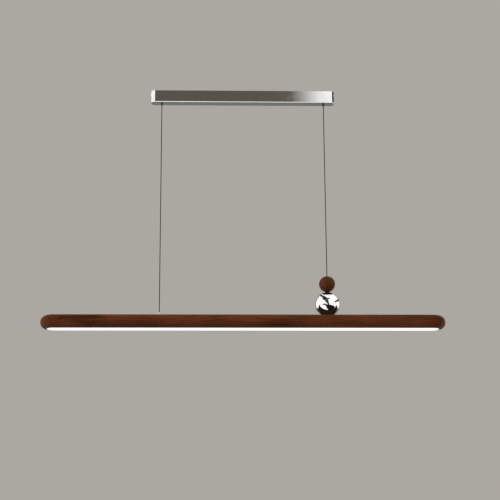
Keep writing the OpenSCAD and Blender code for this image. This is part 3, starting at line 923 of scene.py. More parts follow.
BAR_WALNUT = Walnut("oiled_walnut_along", Grain.ALONG, (-420.0, 8.0, -735.0), 3.4)
BALL_WALNUT = Walnut(
    "oiled_walnut_upright", Grain.UPRIGHT, (-612.0, 12.0, -262.0), 3.0,
    light=(0.086, 0.0290, 0.0120), dark=(0.028, 0.0088, 0.0034),
)
CANOPY_STEEL = PolishedSteel("polished_canopy_steel", roughness=0.05)
BALL_STEEL = PolishedSteel("polished_ball_steel", (0.92, 0.92, 0.91), (0.87, 0.87, 0.86), 0.02)
FERRULE_STEEL = PolishedSteel("satin_ferrule_steel", (0.60, 0.59, 0.57), (0.52, 0.51, 0.49), 0.28)
BLACK_METAL = CoatedBlack("black_coated_metal")
MATT_COLLAR = CoatedBlack("matt_black_collar", (0.006, 0.0045, 0.004), (0.012, 0.009, 0.008), 0.55, 2.5, 0.12)
BLACK_SHEATH = CoatedBlack("black_wire_sheath", (0.003, 0.003, 0.003), (0.006, 0.006, 0.006), 0.55, 6.0, 0.1)
ZINC = DrawnMetal("zinc_plated_steel", (0.56, 0.57, 0.59), (0.40, 0.41, 0.43), 0.28)
BRASS = DrawnMetal("plain_brass", (0.72, 0.52, 0.22), (0.52, 0.35, 0.13), 0.25)
ALUMINIUM = DrawnMetal("extruded_aluminium", (0.78, 0.78, 0.79), (0.64, 0.64, 0.66), 0.32)
WHITE_PLASTIC = MouldedPlastic("white_moulding", (0.78, 0.78, 0.75), (0.70, 0.70, 0.67), 0.42)
SOLDER_MASK = MouldedPlastic("white_solder_mask", (0.84, 0.84, 0.81), (0.76, 0.76, 0.73), 0.3, 3.0)
PHOSPHOR = MouldedPlastic("phosphor_lens", (0.86, 0.72, 0.22), (0.78, 0.62, 0.15), 0.25, 3.0)
OPAL = LitOpal("lit_opal_diffuser")
RED_LEAD = MouldedPlastic("red_lead_sleeve", (0.32, 0.020, 0.015), (0.24, 0.014, 0.011), 0.4, 3.0)
BLUE_LEAD = MouldedPlastic("blue_lead_sleeve", (0.016, 0.055, 0.25), (0.012, 0.04, 0.19), 0.4, 3.0)
BROWN_LEAD = MouldedPlastic("brown_lead_sleeve", (0.11, 0.035, 0.014), (0.08, 0.025, 0.010), 0.4, 3.0)
GREEN_LEAD = MouldedPlastic("green_lead_sleeve", (0.02, 0.16, 0.025), (0.015, 0.12, 0.02), 0.4, 3.0)
BLACK_LEAD = MouldedPlastic("black_lead_sleeve", (0.015, 0.015, 0.015), (0.025, 0.025, 0.025), 0.4, 3.0)

SLOT_FINISHES: dict[str, Finish] = {
    "walnut": BAR_WALNUT,
    "polished_steel": CANOPY_STEEL,
    "black_metal": BLACK_METAL,
    "black_wire": BLACK_SHEATH,
    "zinc_steel": ZINC,
    "brass": BRASS,
    "white_plastic": WHITE_PLASTIC,
    "aluminium": ALUMINIUM,
    "led_board": SOLDER_MASK,
    "led_lens": PHOSPHOR,
    "opal_diffuser": OPAL,
    "lead_sleeve": RED_LEAD,
}


def place_piece(piece: Object, finish: Finish, body: str, node: str) -> None:
    """Dresses a piece, sets it on its body and lets it stand for its solid.

    Args:
        piece: The piece, in place.
        finish: Its finish.
        body: The body that it moves with.
        node: The solid that it stands for.
    """
    piece.data.materials.append(finish.material())
    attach(piece, body)
    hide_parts(node)
    LOG.info("%s rides on %s for %s", piece.name, body, node)


# The lamp


@dataclass
class Canopy:
    """The polished cover on the ceiling, and the leads and wire ends inside it."""

    corner_r: float = 12 * MM
    edge_r: float = 1.4 * MM
    wall: float = 1.2 * MM
    inner_edge_r: float = 0.6 * MM
    guard: float = 0.4 * MM
    edge_steps: int = 10
    grip_x: float = 250 * MM
    grip_hole_r: float = 4.2 * MM
    lead_r: float = 0.8 * MM
    lead_turn: float = 4 * MM
    lead_sides: int = 12

    def build(self) -> None:
        """Builds the cover, the leads and the wires' ends."""
        self.build_cover()
        self.build_leads()
        for side in Side:
            self.build_tail(side)

    def build_cover(self) -> None:
        """Builds the cover as one thin shell with two holes for the wire grips."""
        box = NodeBox.of("canopy_cover")
        inside = box.low.z + self.wall
        outer = (box.length, box.width, self.corner_r)
        inner = (box.length - 2 * self.wall, box.width - 2 * self.wall, self.corner_r - self.wall)
        levels = [
            *self.edge_levels(outer, box.low.z, self.edge_r),
            (outer, box.high.z),
            (inner, box.high.z),
            *reversed(self.edge_levels(inner, inside, self.inner_edge_r)),
        ]
        shape = Shape()
        rings = [shape.ring(rounded_rectangle(*size, z, self.guard)) for size, z in levels]
        shape.skin(rings)
        shape.close_with_holes(rings, self.grip_x, self.grip_hole_r, (box.low.z, inside))
        place_piece(shape.finish("canopy_shell"), CANOPY_STEEL, "canopy", "canopy_cover")

    def edge_levels(self, size: Point, bottom: float, edge_r: float) -> list[tuple[Point, float]]:
        """The rings of a rounded lower edge.

        Args:
            size: Length, width and corner radius of the wall above the edge.
            bottom: The height of the flat underside.
            edge_r: The edge's radius.

        Returns:
            Length, width and corner radius with the height of each ring, from the underside up.
        """
        length, width, corner_r = size
        profile = [(-edge_r - self.guard, bottom)]
        profile += arc((-edge_r, bottom + edge_r), edge_r, -90, 0, self.edge_steps)
        profile.append((0.0, bottom + edge_r + self.guard))
        return [((length + 2 * out, width + 2 * out, corner_r + out), z) for out, z in profile]

    def build_leads(self) -> None:
        """Builds the supply leads and the driver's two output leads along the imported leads' routes."""
        splice_z = NodeBox.of("left_splice").z / MM
        routes: list[tuple[str, Finish, str, list[Point]]] = [
            ("live_supply_lead", BROWN_LEAD, "supply_leads", self.supply_route(1)),
            ("neutral_supply_lead", BLUE_LEAD, "supply_leads", self.supply_route(-1)),
            ("earth_lead", GREEN_LEAD, "supply_leads", [(50.6, 0, -5.4), (57, 0, -7), (65, 0, -7)]),
            (
                "left_driver_lead", RED_LEAD, "left_output_lead",
                [(-131, 4, -14), (-143, 4, -14), (-155, 8, splice_z), (-198, 8, splice_z)],
            ),
            (
                "right_driver_lead", BLACK_LEAD, "right_output_lead",
                [
                    (-131, -4, -14), (-147, -4, -14), (-147, -12.6, -19), (25, -12.6, -19),
                    (172, -12.6, -19), (184, -8, splice_z), (198, -8, splice_z),
                ],
            ),
        ]
        for name, finish, node, corners in routes:
            points = [(x * MM, y * MM, z * MM) for x, y, z in corners]
            lead = tube(name, eased(points, self.lead_turn), self.lead_r, self.lead_sides)
            place_piece(lead, finish, "canopy", node)

    def supply_route(self, sign: int) -> list[Point]:
        """The route of a supply lead from the driver to the terminal block, in millimetres."""
        return [(21, sign * 4, -14), (41, sign * 4, -14), (49, sign * 7, -7), (65, sign * 7, -7)]

    def build_tail(self, side: Side) -> None:
        """Builds the end of a wire above its grip.

        Args:
            side: Which wire.
        """
        mouth = NodeBox.of(side.part("grip_nozzle")).low.z
        level = NodeBox.of("left_splice").z
        turn = -side.value * MM
        corners = [(-250, 0, mouth), (-250, 0, level), (-230, 8, level), (-202, 8, level)]
        points = [(turn * x, turn * y, z) for x, y, z in corners]
        wire_r = NodeBox.of(side.part("wire")).radius
        tail = tube(side.part("wire_in_canopy"), eased(points, self.lead_turn), wire_r)
        place_piece(tail, BLACK_SHEATH, "canopy", side.part("wire_tail"))


@dataclass
class WireGrip:
    """The grip that holds one wire at the canopy: sleeve, release nozzle and spring."""

    side: Side
    thread_r: float = 4 * MM
    collar_r: float = 4.8 * MM
    collar_tip_r: float = 3.7 * MM
    collar_ease: float = 0.25 * MM
    collar_h: float = 4 * MM
    guide_gap: float = 0.05 * MM
    chamber_r: float = 3 * MM
    chamber_h: float = 6.8 * MM
    wire_bore_r: float = 1.45 * MM
    cap: float = 2 * MM
    pitch: float = 1 * MM
    thread_start: float = 1.5 * MM
    thread_depth: float = 0.45 * MM
    nozzle_ease: float = 0.4 * MM
    nozzle_segments: int = 64
    spring_r: float = 2.25 * MM
    spring_wire_r: float = 0.3 * MM
    spring_turns: float = 4.5
    spring_steps: int = 24
    spring_seat: float = 0.1 * MM
    release: float = 2 * MM
    body: NodeBox = field(init=False)
    nozzle: NodeBox = field(init=False)

    def __post_init__(self) -> None:
        """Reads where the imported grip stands."""
        self.body = NodeBox.of(self.side.part("grip_body"))
        self.nozzle = NodeBox.of(self.side.part("grip_nozzle"))

    def build(self) -> None:
        """Builds the sleeve, the nozzle and the spring."""
        self.build_sleeve()
        self.build_nozzle()
        self.build_spring()

    def build_sleeve(self) -> None:
        """Builds the threaded sleeve with its collar below the canopy."""
        bottom, top = self.body.low.z, self.body.high.z
        seat = bottom + self.collar_h
        neck = top - self.cap
        collar = [
            (self.nozzle.radius + self.guide_gap, bottom), (self.collar_tip_r, bottom), (self.collar_r, seat),
            (self.thread_r, seat), (self.thread_r, seat + self.pitch),
        ]
        outline = softened(collar, self.collar_ease)
        crests = (seat + self.thread_start, top - self.pitch)
        outline += thread(self.thread_r, crests, self.pitch, self.thread_depth)
        outline += [
            (self.thread_r - self.thread_depth, top), (self.wire_bore_r, top),
            (self.wire_bore_r, neck), (self.chamber_r, neck), (self.chamber_r, neck - self.chamber_h),
        ]
        sleeve = lathe(self.side.part("grip_sleeve"), outline, self.body.x)
        place_piece(sleeve, BLACK_METAL, "canopy", self.side.part("grip_body"))

    def build_nozzle(self) -> None:
        """Builds the nozzle that is pressed to free the wire."""
        bottom, top, radius = self.nozzle.low.z, self.nozzle.high.z, self.nozzle.radius
        section = [(self.wire_bore_r, bottom), (radius, bottom), (radius, top), (self.wire_bore_r, top)]
        outline = softened(section, self.nozzle_ease)
        nozzle = lathe(self.side.part("release_nozzle"), outline, self.body.x, self.nozzle_segments)
        body = self.side.part("nozzle")
        place_piece(nozzle, BLACK_METAL, body, self.side.part("grip_nozzle"))

    def build_spring(self) -> None:
        """Builds the spring that pushes the nozzle down."""
        top = self.body.high.z - self.cap
        bottom = self.nozzle.high.z
        room = top - bottom
        inset = self.spring_wire_r + self.spring_seat
        count = round(self.spring_turns * self.spring_steps)
        rise = (room - 2 * inset) / count
        reach = -self.side.value * self.spring_r
        route = []
        for k in range(count + 1):
            a = 2 * math.pi * k / self.spring_steps
            place = (self.body.x + reach * math.cos(a), reach * math.sin(a), bottom + inset + rise * k)
            route.append(Vector(place))
        spring = tube(self.side.part("release_spring"), route, self.spring_wire_r, sides=10, dome=3)
        place_piece(spring, ZINC, "canopy", self.side.part("grip_spring"))
        anchor = (self.body.x, 0.0, top)
        self.side.part("grip_release")
        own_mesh(spring)


@dataclass
class HangingWire:
    """One suspension wire between its grip and the bar, as short bends and a long straight run."""

    side: Side
    travel: float = 250 * MM
    stations: int = 48
    bend_stations: int = 4
    box: NodeBox = field(init=False)

    def __post_init__(self) -> None:
        """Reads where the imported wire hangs."""
        self.box = NodeBox.of(self.side.part("wire"))

    def run(self, name: str, body: str, node: str, heights: Span, steps: int) -> tuple[Object, list[Vector]]:
        """Builds a straight stretch of wire.

        Args:
            name: The piece's name on this side.
            body: Its body's name on this side.
            node: Its solid's name on this side.
            heights: The heights of its upper and its lower end.
            steps: How many steps it has.

        Returns:
            The piece and its centreline.
        """
        route = plumb(self.box.x, heights, steps)
        piece = tube(self.side.part(name), route, self.box.radius)
        place_piece(piece, BLACK_SHEATH, self.side.part(body), self.side.part(node))
        return piece, route

    def build(self) -> None:
        """Builds the wire's stretches."""
        mouth = NodeBox.of(self.side.part("grip_nozzle")).low.z
        top = NodeBox.of(self.side.part("wire_bend")).low.z
        bottom = self.box.low.z
        upper, _ = self.run("wire_upper_bend", "bend", "wire_bend", (mouth, top), self.bend_stations)
        wire, route = self.run("hanging_wire", "wire", "wire", (top, bottom), self.stations)
        if self.side is Side.LEFT:
            foot = NodeBox.of("left_wire_foot")
            ends = (foot.high.z, foot.low.z)
            lower, _ = self.run("wire_lower_bend", "foot", "wire_foot", ends, self.bend_stations)
        leaves = (self.box.x, 0.0, top)
        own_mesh(wire)
        self.box.length


@dataclass
class Bar:
    """The walnut bar and the opal diffuser in its underside."""

    recess_gap: float = 0.25 * MM
    rim_r: float = 0.5 * MM
    stud_hole_r: float = 4.2 * MM
    stud_x: float = 250 * MM
    diffuser_face: float = 2 * MM
    diffuser_wall: float = 2 * MM
    lip: float = 0.7 * MM
    lip_t: float = 1 * MM
    ease: float = 0.3 * MM
    round_steps: int = 64
    round_end_deg: int = -88
    rim_steps: int = 6

    def build(self) -> None:
        """Builds the bar and the diffuser."""
        self.build_bar()
        self.build_diffuser()

    def build_bar(self) -> None:
        """Builds the bar: a full round edge swept about a straight spine, with the light's recess below."""
        box = NodeBox.of("wood_bar")
        edge_r = box.height / 2
        flat_r = box.width / 2 - edge_r
        recess_r = flat_r + self.recess_gap
        recess_top = NodeBox.of("led_channel").high.z
        outline = arc((flat_r, box.z), edge_r, 90, self.round_end_deg, self.round_steps)
        outline += arc((recess_r + self.rim_r, box.low.z + self.rim_r), self.rim_r, -90, -180, self.rim_steps)
        outline.append((recess_r, recess_top))
        shape = Shape()
        rings = [shape.ring(stadium(box.length - box.width, r, z)) for r, z in outline]
        shape.skin(rings)
        shape.close_with_holes(rings, self.stud_x, self.stud_hole_r, (box.high.z, recess_top))
        place_piece(shape.finish("walnut_bar"), BAR_WALNUT, "bar", "wood_bar")

    def build_diffuser(self) -> None:
        """Builds the diffuser as a shallow tray with an inward lip."""
        box = NodeBox.of("diffuser")
        outer_r = box.width / 2
        inner_r = outer_r - self.diffuser_wall
        mouth_r = inner_r - self.lip
        outline = arc((outer_r - self.ease, box.low.z + self.ease), self.ease, -90, 0, self.rim_steps)
        outline += [
            (outer_r, box.high.z), (mouth_r, box.high.z), (mouth_r, box.high.z - self.lip_t),
            (inner_r, box.high.z - self.lip_t), (inner_r, box.low.z + self.diffuser_face),
        ]
        shape = Shape()
        rings = [shape.ring(stadium(box.length - 2 * outer_r, r, z)) for r, z in outline]
        shape.skin(rings)
        shape.fill(rings[0])
        shape.fill(rings[-1])
        place_piece(shape.finish("opal_tray"), OPAL, "bar", "diffuser")


@dataclass
class BarWiring:
    """The end of one wire inside the bar and its two leads to the light boards."""

    side: Side
    lead_r: float = 0.6 * MM
    lead_turn: float = 2 * MM
    lead_sides: int = 12
    apart: float = 1.9 * MM
    drop: float = 3 * MM
    reach: float = 14 * MM
    board_y: float = 12.2 * MM
    end_steps: int = 6

    def build(self) -> None:
        """Builds the wire's end and its leads."""
        box = NodeBox.of(self.side.part("wire_end"))
        bottom = box.low.z
        route = plumb(box.x, (box.high.z, bottom), self.end_steps)
        end = tube(self.side.part("wire_in_bar"), route, box.radius, dome=1)
        place_piece(end, BLACK_SHEATH, "bar", self.side.part("wire_end"))
        board = NodeBox.of("led_boards").low.z
        turn = -self.side.value
        for name, finish, sign in (("first_board_lead", RED_LEAD, 1), ("second_board_lead", BLACK_LEAD, -1)):
            corners = [
                (0.0, self.apart, bottom), (0.0, self.apart, bottom - self.drop),
                (self.reach, self.board_y, bottom - self.drop), (self.reach, self.board_y, board),
            ]
            points = [(box.x + turn * x, turn * sign * y, z) for x, y, z in corners]
            lead = tube(self.side.part(name), eased(points, self.lead_turn), self.lead_r, self.lead_sides)
            place_piece(lead, finish, "bar", self.side.part("bar_leads"))


@dataclass
class WireFerrule:
    """The small turned fitting where the left wire enters the bar."""

    flange_h: float = 1.6 * MM
    body_r: float = 3.5 * MM
    tip_r: float = 2.75 * MM
    tip_h: float = 4 * MM
    stud_r: float = 4 * MM
    bore_r: float = 1.45 * MM
    ease: float = 0.35 * MM
    pitch: float = 1.25 * MM
    thread_end: float = 2.5 * MM
    thread_depth: float = 0.5 * MM

    def build(self) -> None:
        """Builds the ferrule with the threaded stud below it."""
        box = NodeBox.of("left_ferrule")
        seat = NodeBox.of("wood_bar").high.z
        flange = seat + self.flange_h
        section = [
            (self.stud_r, seat), (box.radius, seat), (box.radius, flange),
            (self.body_r, flange), (self.body_r, box.high.z - self.tip_h),
            (self.tip_r, box.high.z), (self.bore_r, box.high.z), (self.bore_r, box.low.z),
        ]
        outline = softened(section, self.ease)
        outline += thread(self.stud_r, (box.low.z, seat - self.thread_end), self.pitch, self.thread_depth)
        ferrule = lathe("wire_ferrule", outline, box.x)
        place_piece(ferrule, FERRULE_STEEL, "bar", "left_ferrule")


@dataclass
class BallStack:
    """The polished ball, the black collar and the wooden ball on the right wire's stem."""

    stem_hole_r: float = 4.2 * MM
    wire_hole_r: float = 1.45 * MM
    hole_ease: float = 0.4 * MM
    seat_cut: float = 0.4 * MM
    stem_room: float = 1 * MM
    collar_ease: float = 0.6 * MM
    steps: int = 72
    segments: int = 128

    def build(self) -> None:
        """Builds both balls and the collar between them."""
        self.build_polished_ball()
        self.build_collar()
        self.build_wooden_ball()

    def build_polished_ball(self) -> None:
        """Builds the polished ball with its two small seats and the stem's hole."""
        box = NodeBox.of("chrome_ball")
        seat = math.degrees(math.asin((box.high.z - box.z) / box.radius))
        outline = arc((0.0, box.z), box.radius, -seat, seat, self.steps)
        outline += [(self.stem_hole_r, box.high.z), (self.stem_hole_r, box.low.z)]
        ball = lathe("polished_ball", outline, box.x, self.segments)
        place_piece(ball, BALL_STEEL, "bar", "chrome_ball")

    def build_collar(self) -> None:
        """Builds the collar between the balls."""
        box = NodeBox.of("ball_collar")
        section = [
            (self.stem_hole_r, box.low.z), (box.radius, box.low.z),
            (box.radius, box.high.z), (self.stem_hole_r, box.high.z),
        ]
        collar = lathe("black_collar", softened(section, self.collar_ease), box.x)
        place_piece(collar, MATT_COLLAR, "bar", "ball_collar")

    def build_wooden_ball(self) -> None:
        """Builds the wooden ball with a blind hole for the stem and a fine hole for the wire."""
        box = NodeBox.of("wood_ball")
        middle = box.low.z + box.radius - self.seat_cut
        stem_top = NodeBox.of("right_stem").high.z + self.stem_room
        seat = -math.degrees(math.asin((middle - box.low.z) / box.radius))
        crown = math.degrees(math.acos((self.wire_hole_r + self.hole_ease) / box.radius))
        outline = arc((0.0, middle), box.radius, seat, crown, self.steps)
        outline += [
            (self.wire_hole_r, middle + box.radius - self.hole_ease), (self.wire_hole_r, stem_top),
            (self.stem_hole_r, stem_top), (self.stem_hole_r, box.low.z),
        ]
        ball = lathe("walnut_ball", outline, box.x, self.segments)
        place_piece(ball, BALL_WALNUT, "bar", "wood_ball")


def dress_solids() -> None:
    """Gives every solid that stays in view the finish of its material slot."""
    for part in frame["record"]["subparts"]:
        solid = frame["nodes"][part["node"]]
        if solid.hide_render:
            continue
        solid.data.materials.clear()
        solid.data.materials.append(SLOT_FINISHES[part["material_slot"]].material())
        LOG.info("%s is dressed as %s", part["node"], part["material_slot"])


# The studio


@dataclass(frozen=True)
class MirrorCard:
    """A card in the room whose face shows in polished surfaces and nowhere else.

    Each line across the card has its left end, its right end and how bright the card is there.
    """

    name: str
    colour: Colour
    lines: Sequence[tuple[Sequence[float], Sequence[float], float]]
    faces: Point = (0.0, 0.0, 0.0)
    soft: Span | None = None

    def build(self) -> None:
        """Hangs the card, turned to the point that it faces."""
        shape = Shape()
        across = shape.bm.loops.layers.uv.new("across")
        rows = [(shape.ring((left, right)), bright) for left, right, bright in self.lines]
        for (low, low_bright), (high, high_bright) in zip(rows, rows[1:]):
            face = shape.bm.faces.new((*low, *reversed(high)))
            places = ((0.0, low_bright), (1.0, low_bright), (1.0, high_bright), (0.0, high_bright))
            for loop, place in zip(face.loops, places):
                loop[across].uv = place
        card = shape.finish(self.name)
        card.data.materials.append(self.material())
        point = Vector(self.faces)
        if sum(face.normal.dot(face.center - point) for face in card.data.polygons) > 0.0:
            card.data.flip_normals()
        card.visible_camera = False
        card.visible_diffuse = False
        card.visible_transmission = False
        card.visible_shadow = False

    def material(self) -> Material:
        """Makes a glowing face, soft at its ends if asked, with a clear back.

        Returns:
            The material.
        """
        material, nodes = new_material(self.name)
        place, bright, _ = nodes.split(nodes.coordinates("UV"))
        cover = nodes.maths("SUBTRACT", 1.0, nodes.add("ShaderNodeNewGeometry").outputs["Backfacing"])
        if self.soft:
            left = nodes.spread(place, 0.0, self.soft[0], 0.0, 1.0)
            right = nodes.spread(place, 1.0 - self.soft[1], 1.0, 1.0, 0.0)
            cover = nodes.maths("MULTIPLY", nodes.maths("MULTIPLY", left, right), cover)
        glow = nodes.shader("ShaderNodeEmission", {"Color": self.colour, "Strength": bright})
        clear = nodes.shader("ShaderNodeBsdfTransparent")
        whole = nodes.shader("ShaderNodeMixShader", {0: cover, 1: clear, 2: glow})
        nodes.add("ShaderNodeOutputMaterial", None, {"Surface": whole})
        return material


@dataclass(frozen=True)
class ReflectedBand:
    """A strip of the room on a sphere round the lamp or one of its pieces.

    Each row has the angles to the right and up of the strip's left edge and of its right edge, seen from
    the sphere's centre towards the viewer, and how bright the strip is there.
    """

    name: str
    colour: Colour
    rows: Sequence[BandRow]
    soft: Span = (0.1, 0.1)
    distance: float = 5.0
    centre: Point = (0.0, 0.0, -0.35)

    def place(self, right_deg: float, up_deg: float) -> Vector:
        """The point of the sphere at angles to the right and up.

        Args:
            right_deg: The angle to the right.
            up_deg: The angle up.

        Returns:
            The point.
        """
        right, up = math.radians(right_deg), math.radians(up_deg)
        level = math.cos(up)
        direction = Vector((math.sin(right) * level, -math.cos(right) * level, math.sin(up)))
        return Vector(self.centre) + self.distance * direction

    def card(self) -> MirrorCard:
        """The strip as a card that faces the sphere's centre."""
        lines = [(self.place(*row[:2]), self.place(*row[2:4]), row[4]) for row in self.rows]
        return MirrorCard(self.name, self.colour, lines, self.centre, self.soft)


def canopy_end_rows(*angles: float) -> list[BandRow]:
    """The rows of an upright strip beside a round end of the canopy, at angles to the right."""
    low, high, bright = 1, 29, 1.0
    return [(angle, low, angle, high, bright) for angle in angles]


FLAG_BLACK = (0.112, 0.100, 0.080)
BANDS = (
    ReflectedBand(
        "front_flag", FLAG_BLACK,
        (
            (-22, 10.5, 10, 11, 0.5), (-26.5, 17, 9.5, 17, 0.5), (-28.5, 22.5, 8.55, 23, 1.0),
            (-36, 27.5, 8.15, 28, 1.0), (-55, 32, 7.5, 34, 0.45), (-63, 46, 2, 47, 0.3),
            (-84, 52.5, -12, 58, 0.12), (-119, 52, -66, 71, 0.05), (-142, 45, -122, 64, 0.1),
            (-165, 33, -170, 36, 0.5),
        ),
        soft=(0.04, 0.073),
    ),
    ReflectedBand(
        "front_flag_foot", FLAG_BLACK,
        (
            (9.6, -32, 26, -30.5, 0.1), (7, -20.5, 23.4, -20.5, 0.25), (-4.8, -10, 20.3, -10, 0.4),
            (-14.5, 1.2, 17.3, 2.3, 0.5), (-19.3, 9.5, 16.4, 8, 0.5),
        ),
        distance=1.3,
    ),
    ReflectedBand(
        "front_flag_branch", (0.03, 0.028, 0.025),
        ((0, 36.5, 0, 50, 1.0), (11, 36, 15, 50, 1.0), (25, 36, 30, 49, 1.0)),
    ),
    ReflectedBand(
        "right_flag", (0.04, 0.038, 0.035),
        (
            (66, 13.5, 69, 7, 1.0), (82, 20, 84, 9, 1.0), (98, 23.5, 99, 14, 1.0),
            (123, 23.5, 116, 15, 1.0), (145, 22, 137, 14, 1.0), (160, 20, 152, 13, 1.0),
        ),
    ),
    ReflectedBand(
        "low_flag", (0.020, 0.018, 0.016),
        (
            (-47, -22.5, -41.5, -30, 1.0), (-33.5, -16, -31, -29.5, 1.0), (-21, -16, -21.5, -30.5, 1.0),
            (-8, -21.5, -13, -37, 1.0), (2.7, -25, -4.5, -46, 1.0), (21, -25, 14, -63, 0.5),
            (41, -25.5, 50, -70, 0.5), (61, -26.5, 79, -61, 0.5), (74, -28, 90, -48, 0.8),
        ),
        soft=(0.08, 0.08), distance=1.3,
    ),
    ReflectedBand(
        "low_flag_middle", (0.055, 0.049, 0.044),
        ((18, -37, 22, -49, 1.0), (35, -35.5, 40, -46.5, 1.0), (52, -33, 56, -41, 1.0)),
        distance=1.25,
    ),
    ReflectedBand(
        "rear_left_flag", (0.04, 0.042, 0.038),
        (
            (-126, -11, -126, -20, 1.0), (-132, -11, -132, -27, 1.0),
            (-146, -5, -146, -29.5, 1.0), (-160, 0, -158, -24, 1.0),
        ),
    ),
    ReflectedBand(
        "rear_right_flag", (0.20, 0.20, 0.19),
        ((118, -10, 118, -17, 1.0), (134, -4, 134, -21, 1.0), (152, -1, 152, -22, 1.0)),
    ),
    ReflectedBand(
        "left_end_card", (1.06, 1.06, 1.05),
        canopy_end_rows(-4.5, -25, -50, -75, -100),
        soft=(0.05, 0.05), distance=0.12, centre=(-0.271, -0.004, 0.0),
    ),
    ReflectedBand(
        "right_end_flag", (0.05, 0.048, 0.045),
        canopy_end_rows(56, 85, 110, 140),
        soft=(0.05, 0.05), distance=0.12, centre=(0.271, -0.004, 0.0),
    ),
)


@dataclass(frozen=True)
class StudioLight:
    """A square light that looks at the lamp and shows in no reflection."""

    name: str
    place: Point
    size: float
    power: float
    aim: Point = (0.0, 0.0, -0.5)

    def build(self) -> None:
        """Hangs the light."""
        data = bpy.data.lights.new(self.name, "AREA")
        data.size = self.size
        data.energy = self.power
        light = bpy.data.objects.new(self.name, data)
        light.location = self.place
        direction = Vector(self.aim) - Vector(self.place)
        light.rotation_euler = direction.to_track_quat("-Z", "Y").to_euler()
        light.visible_glossy = False
        light.visible_camera = False
        bpy.context.scene.collection.objects.link(light)


LIGHTS = (
    StudioLight("key_light", (-8.0, -5.0, 0.9), 5.5, 1200.0),
    StudioLight("fill_light", (5.2, -1.4, 0.2), 2.4, 220.0),
    StudioLight("back_light", (0.6, 6.0, -1.1), 3.0, 240.0),
)


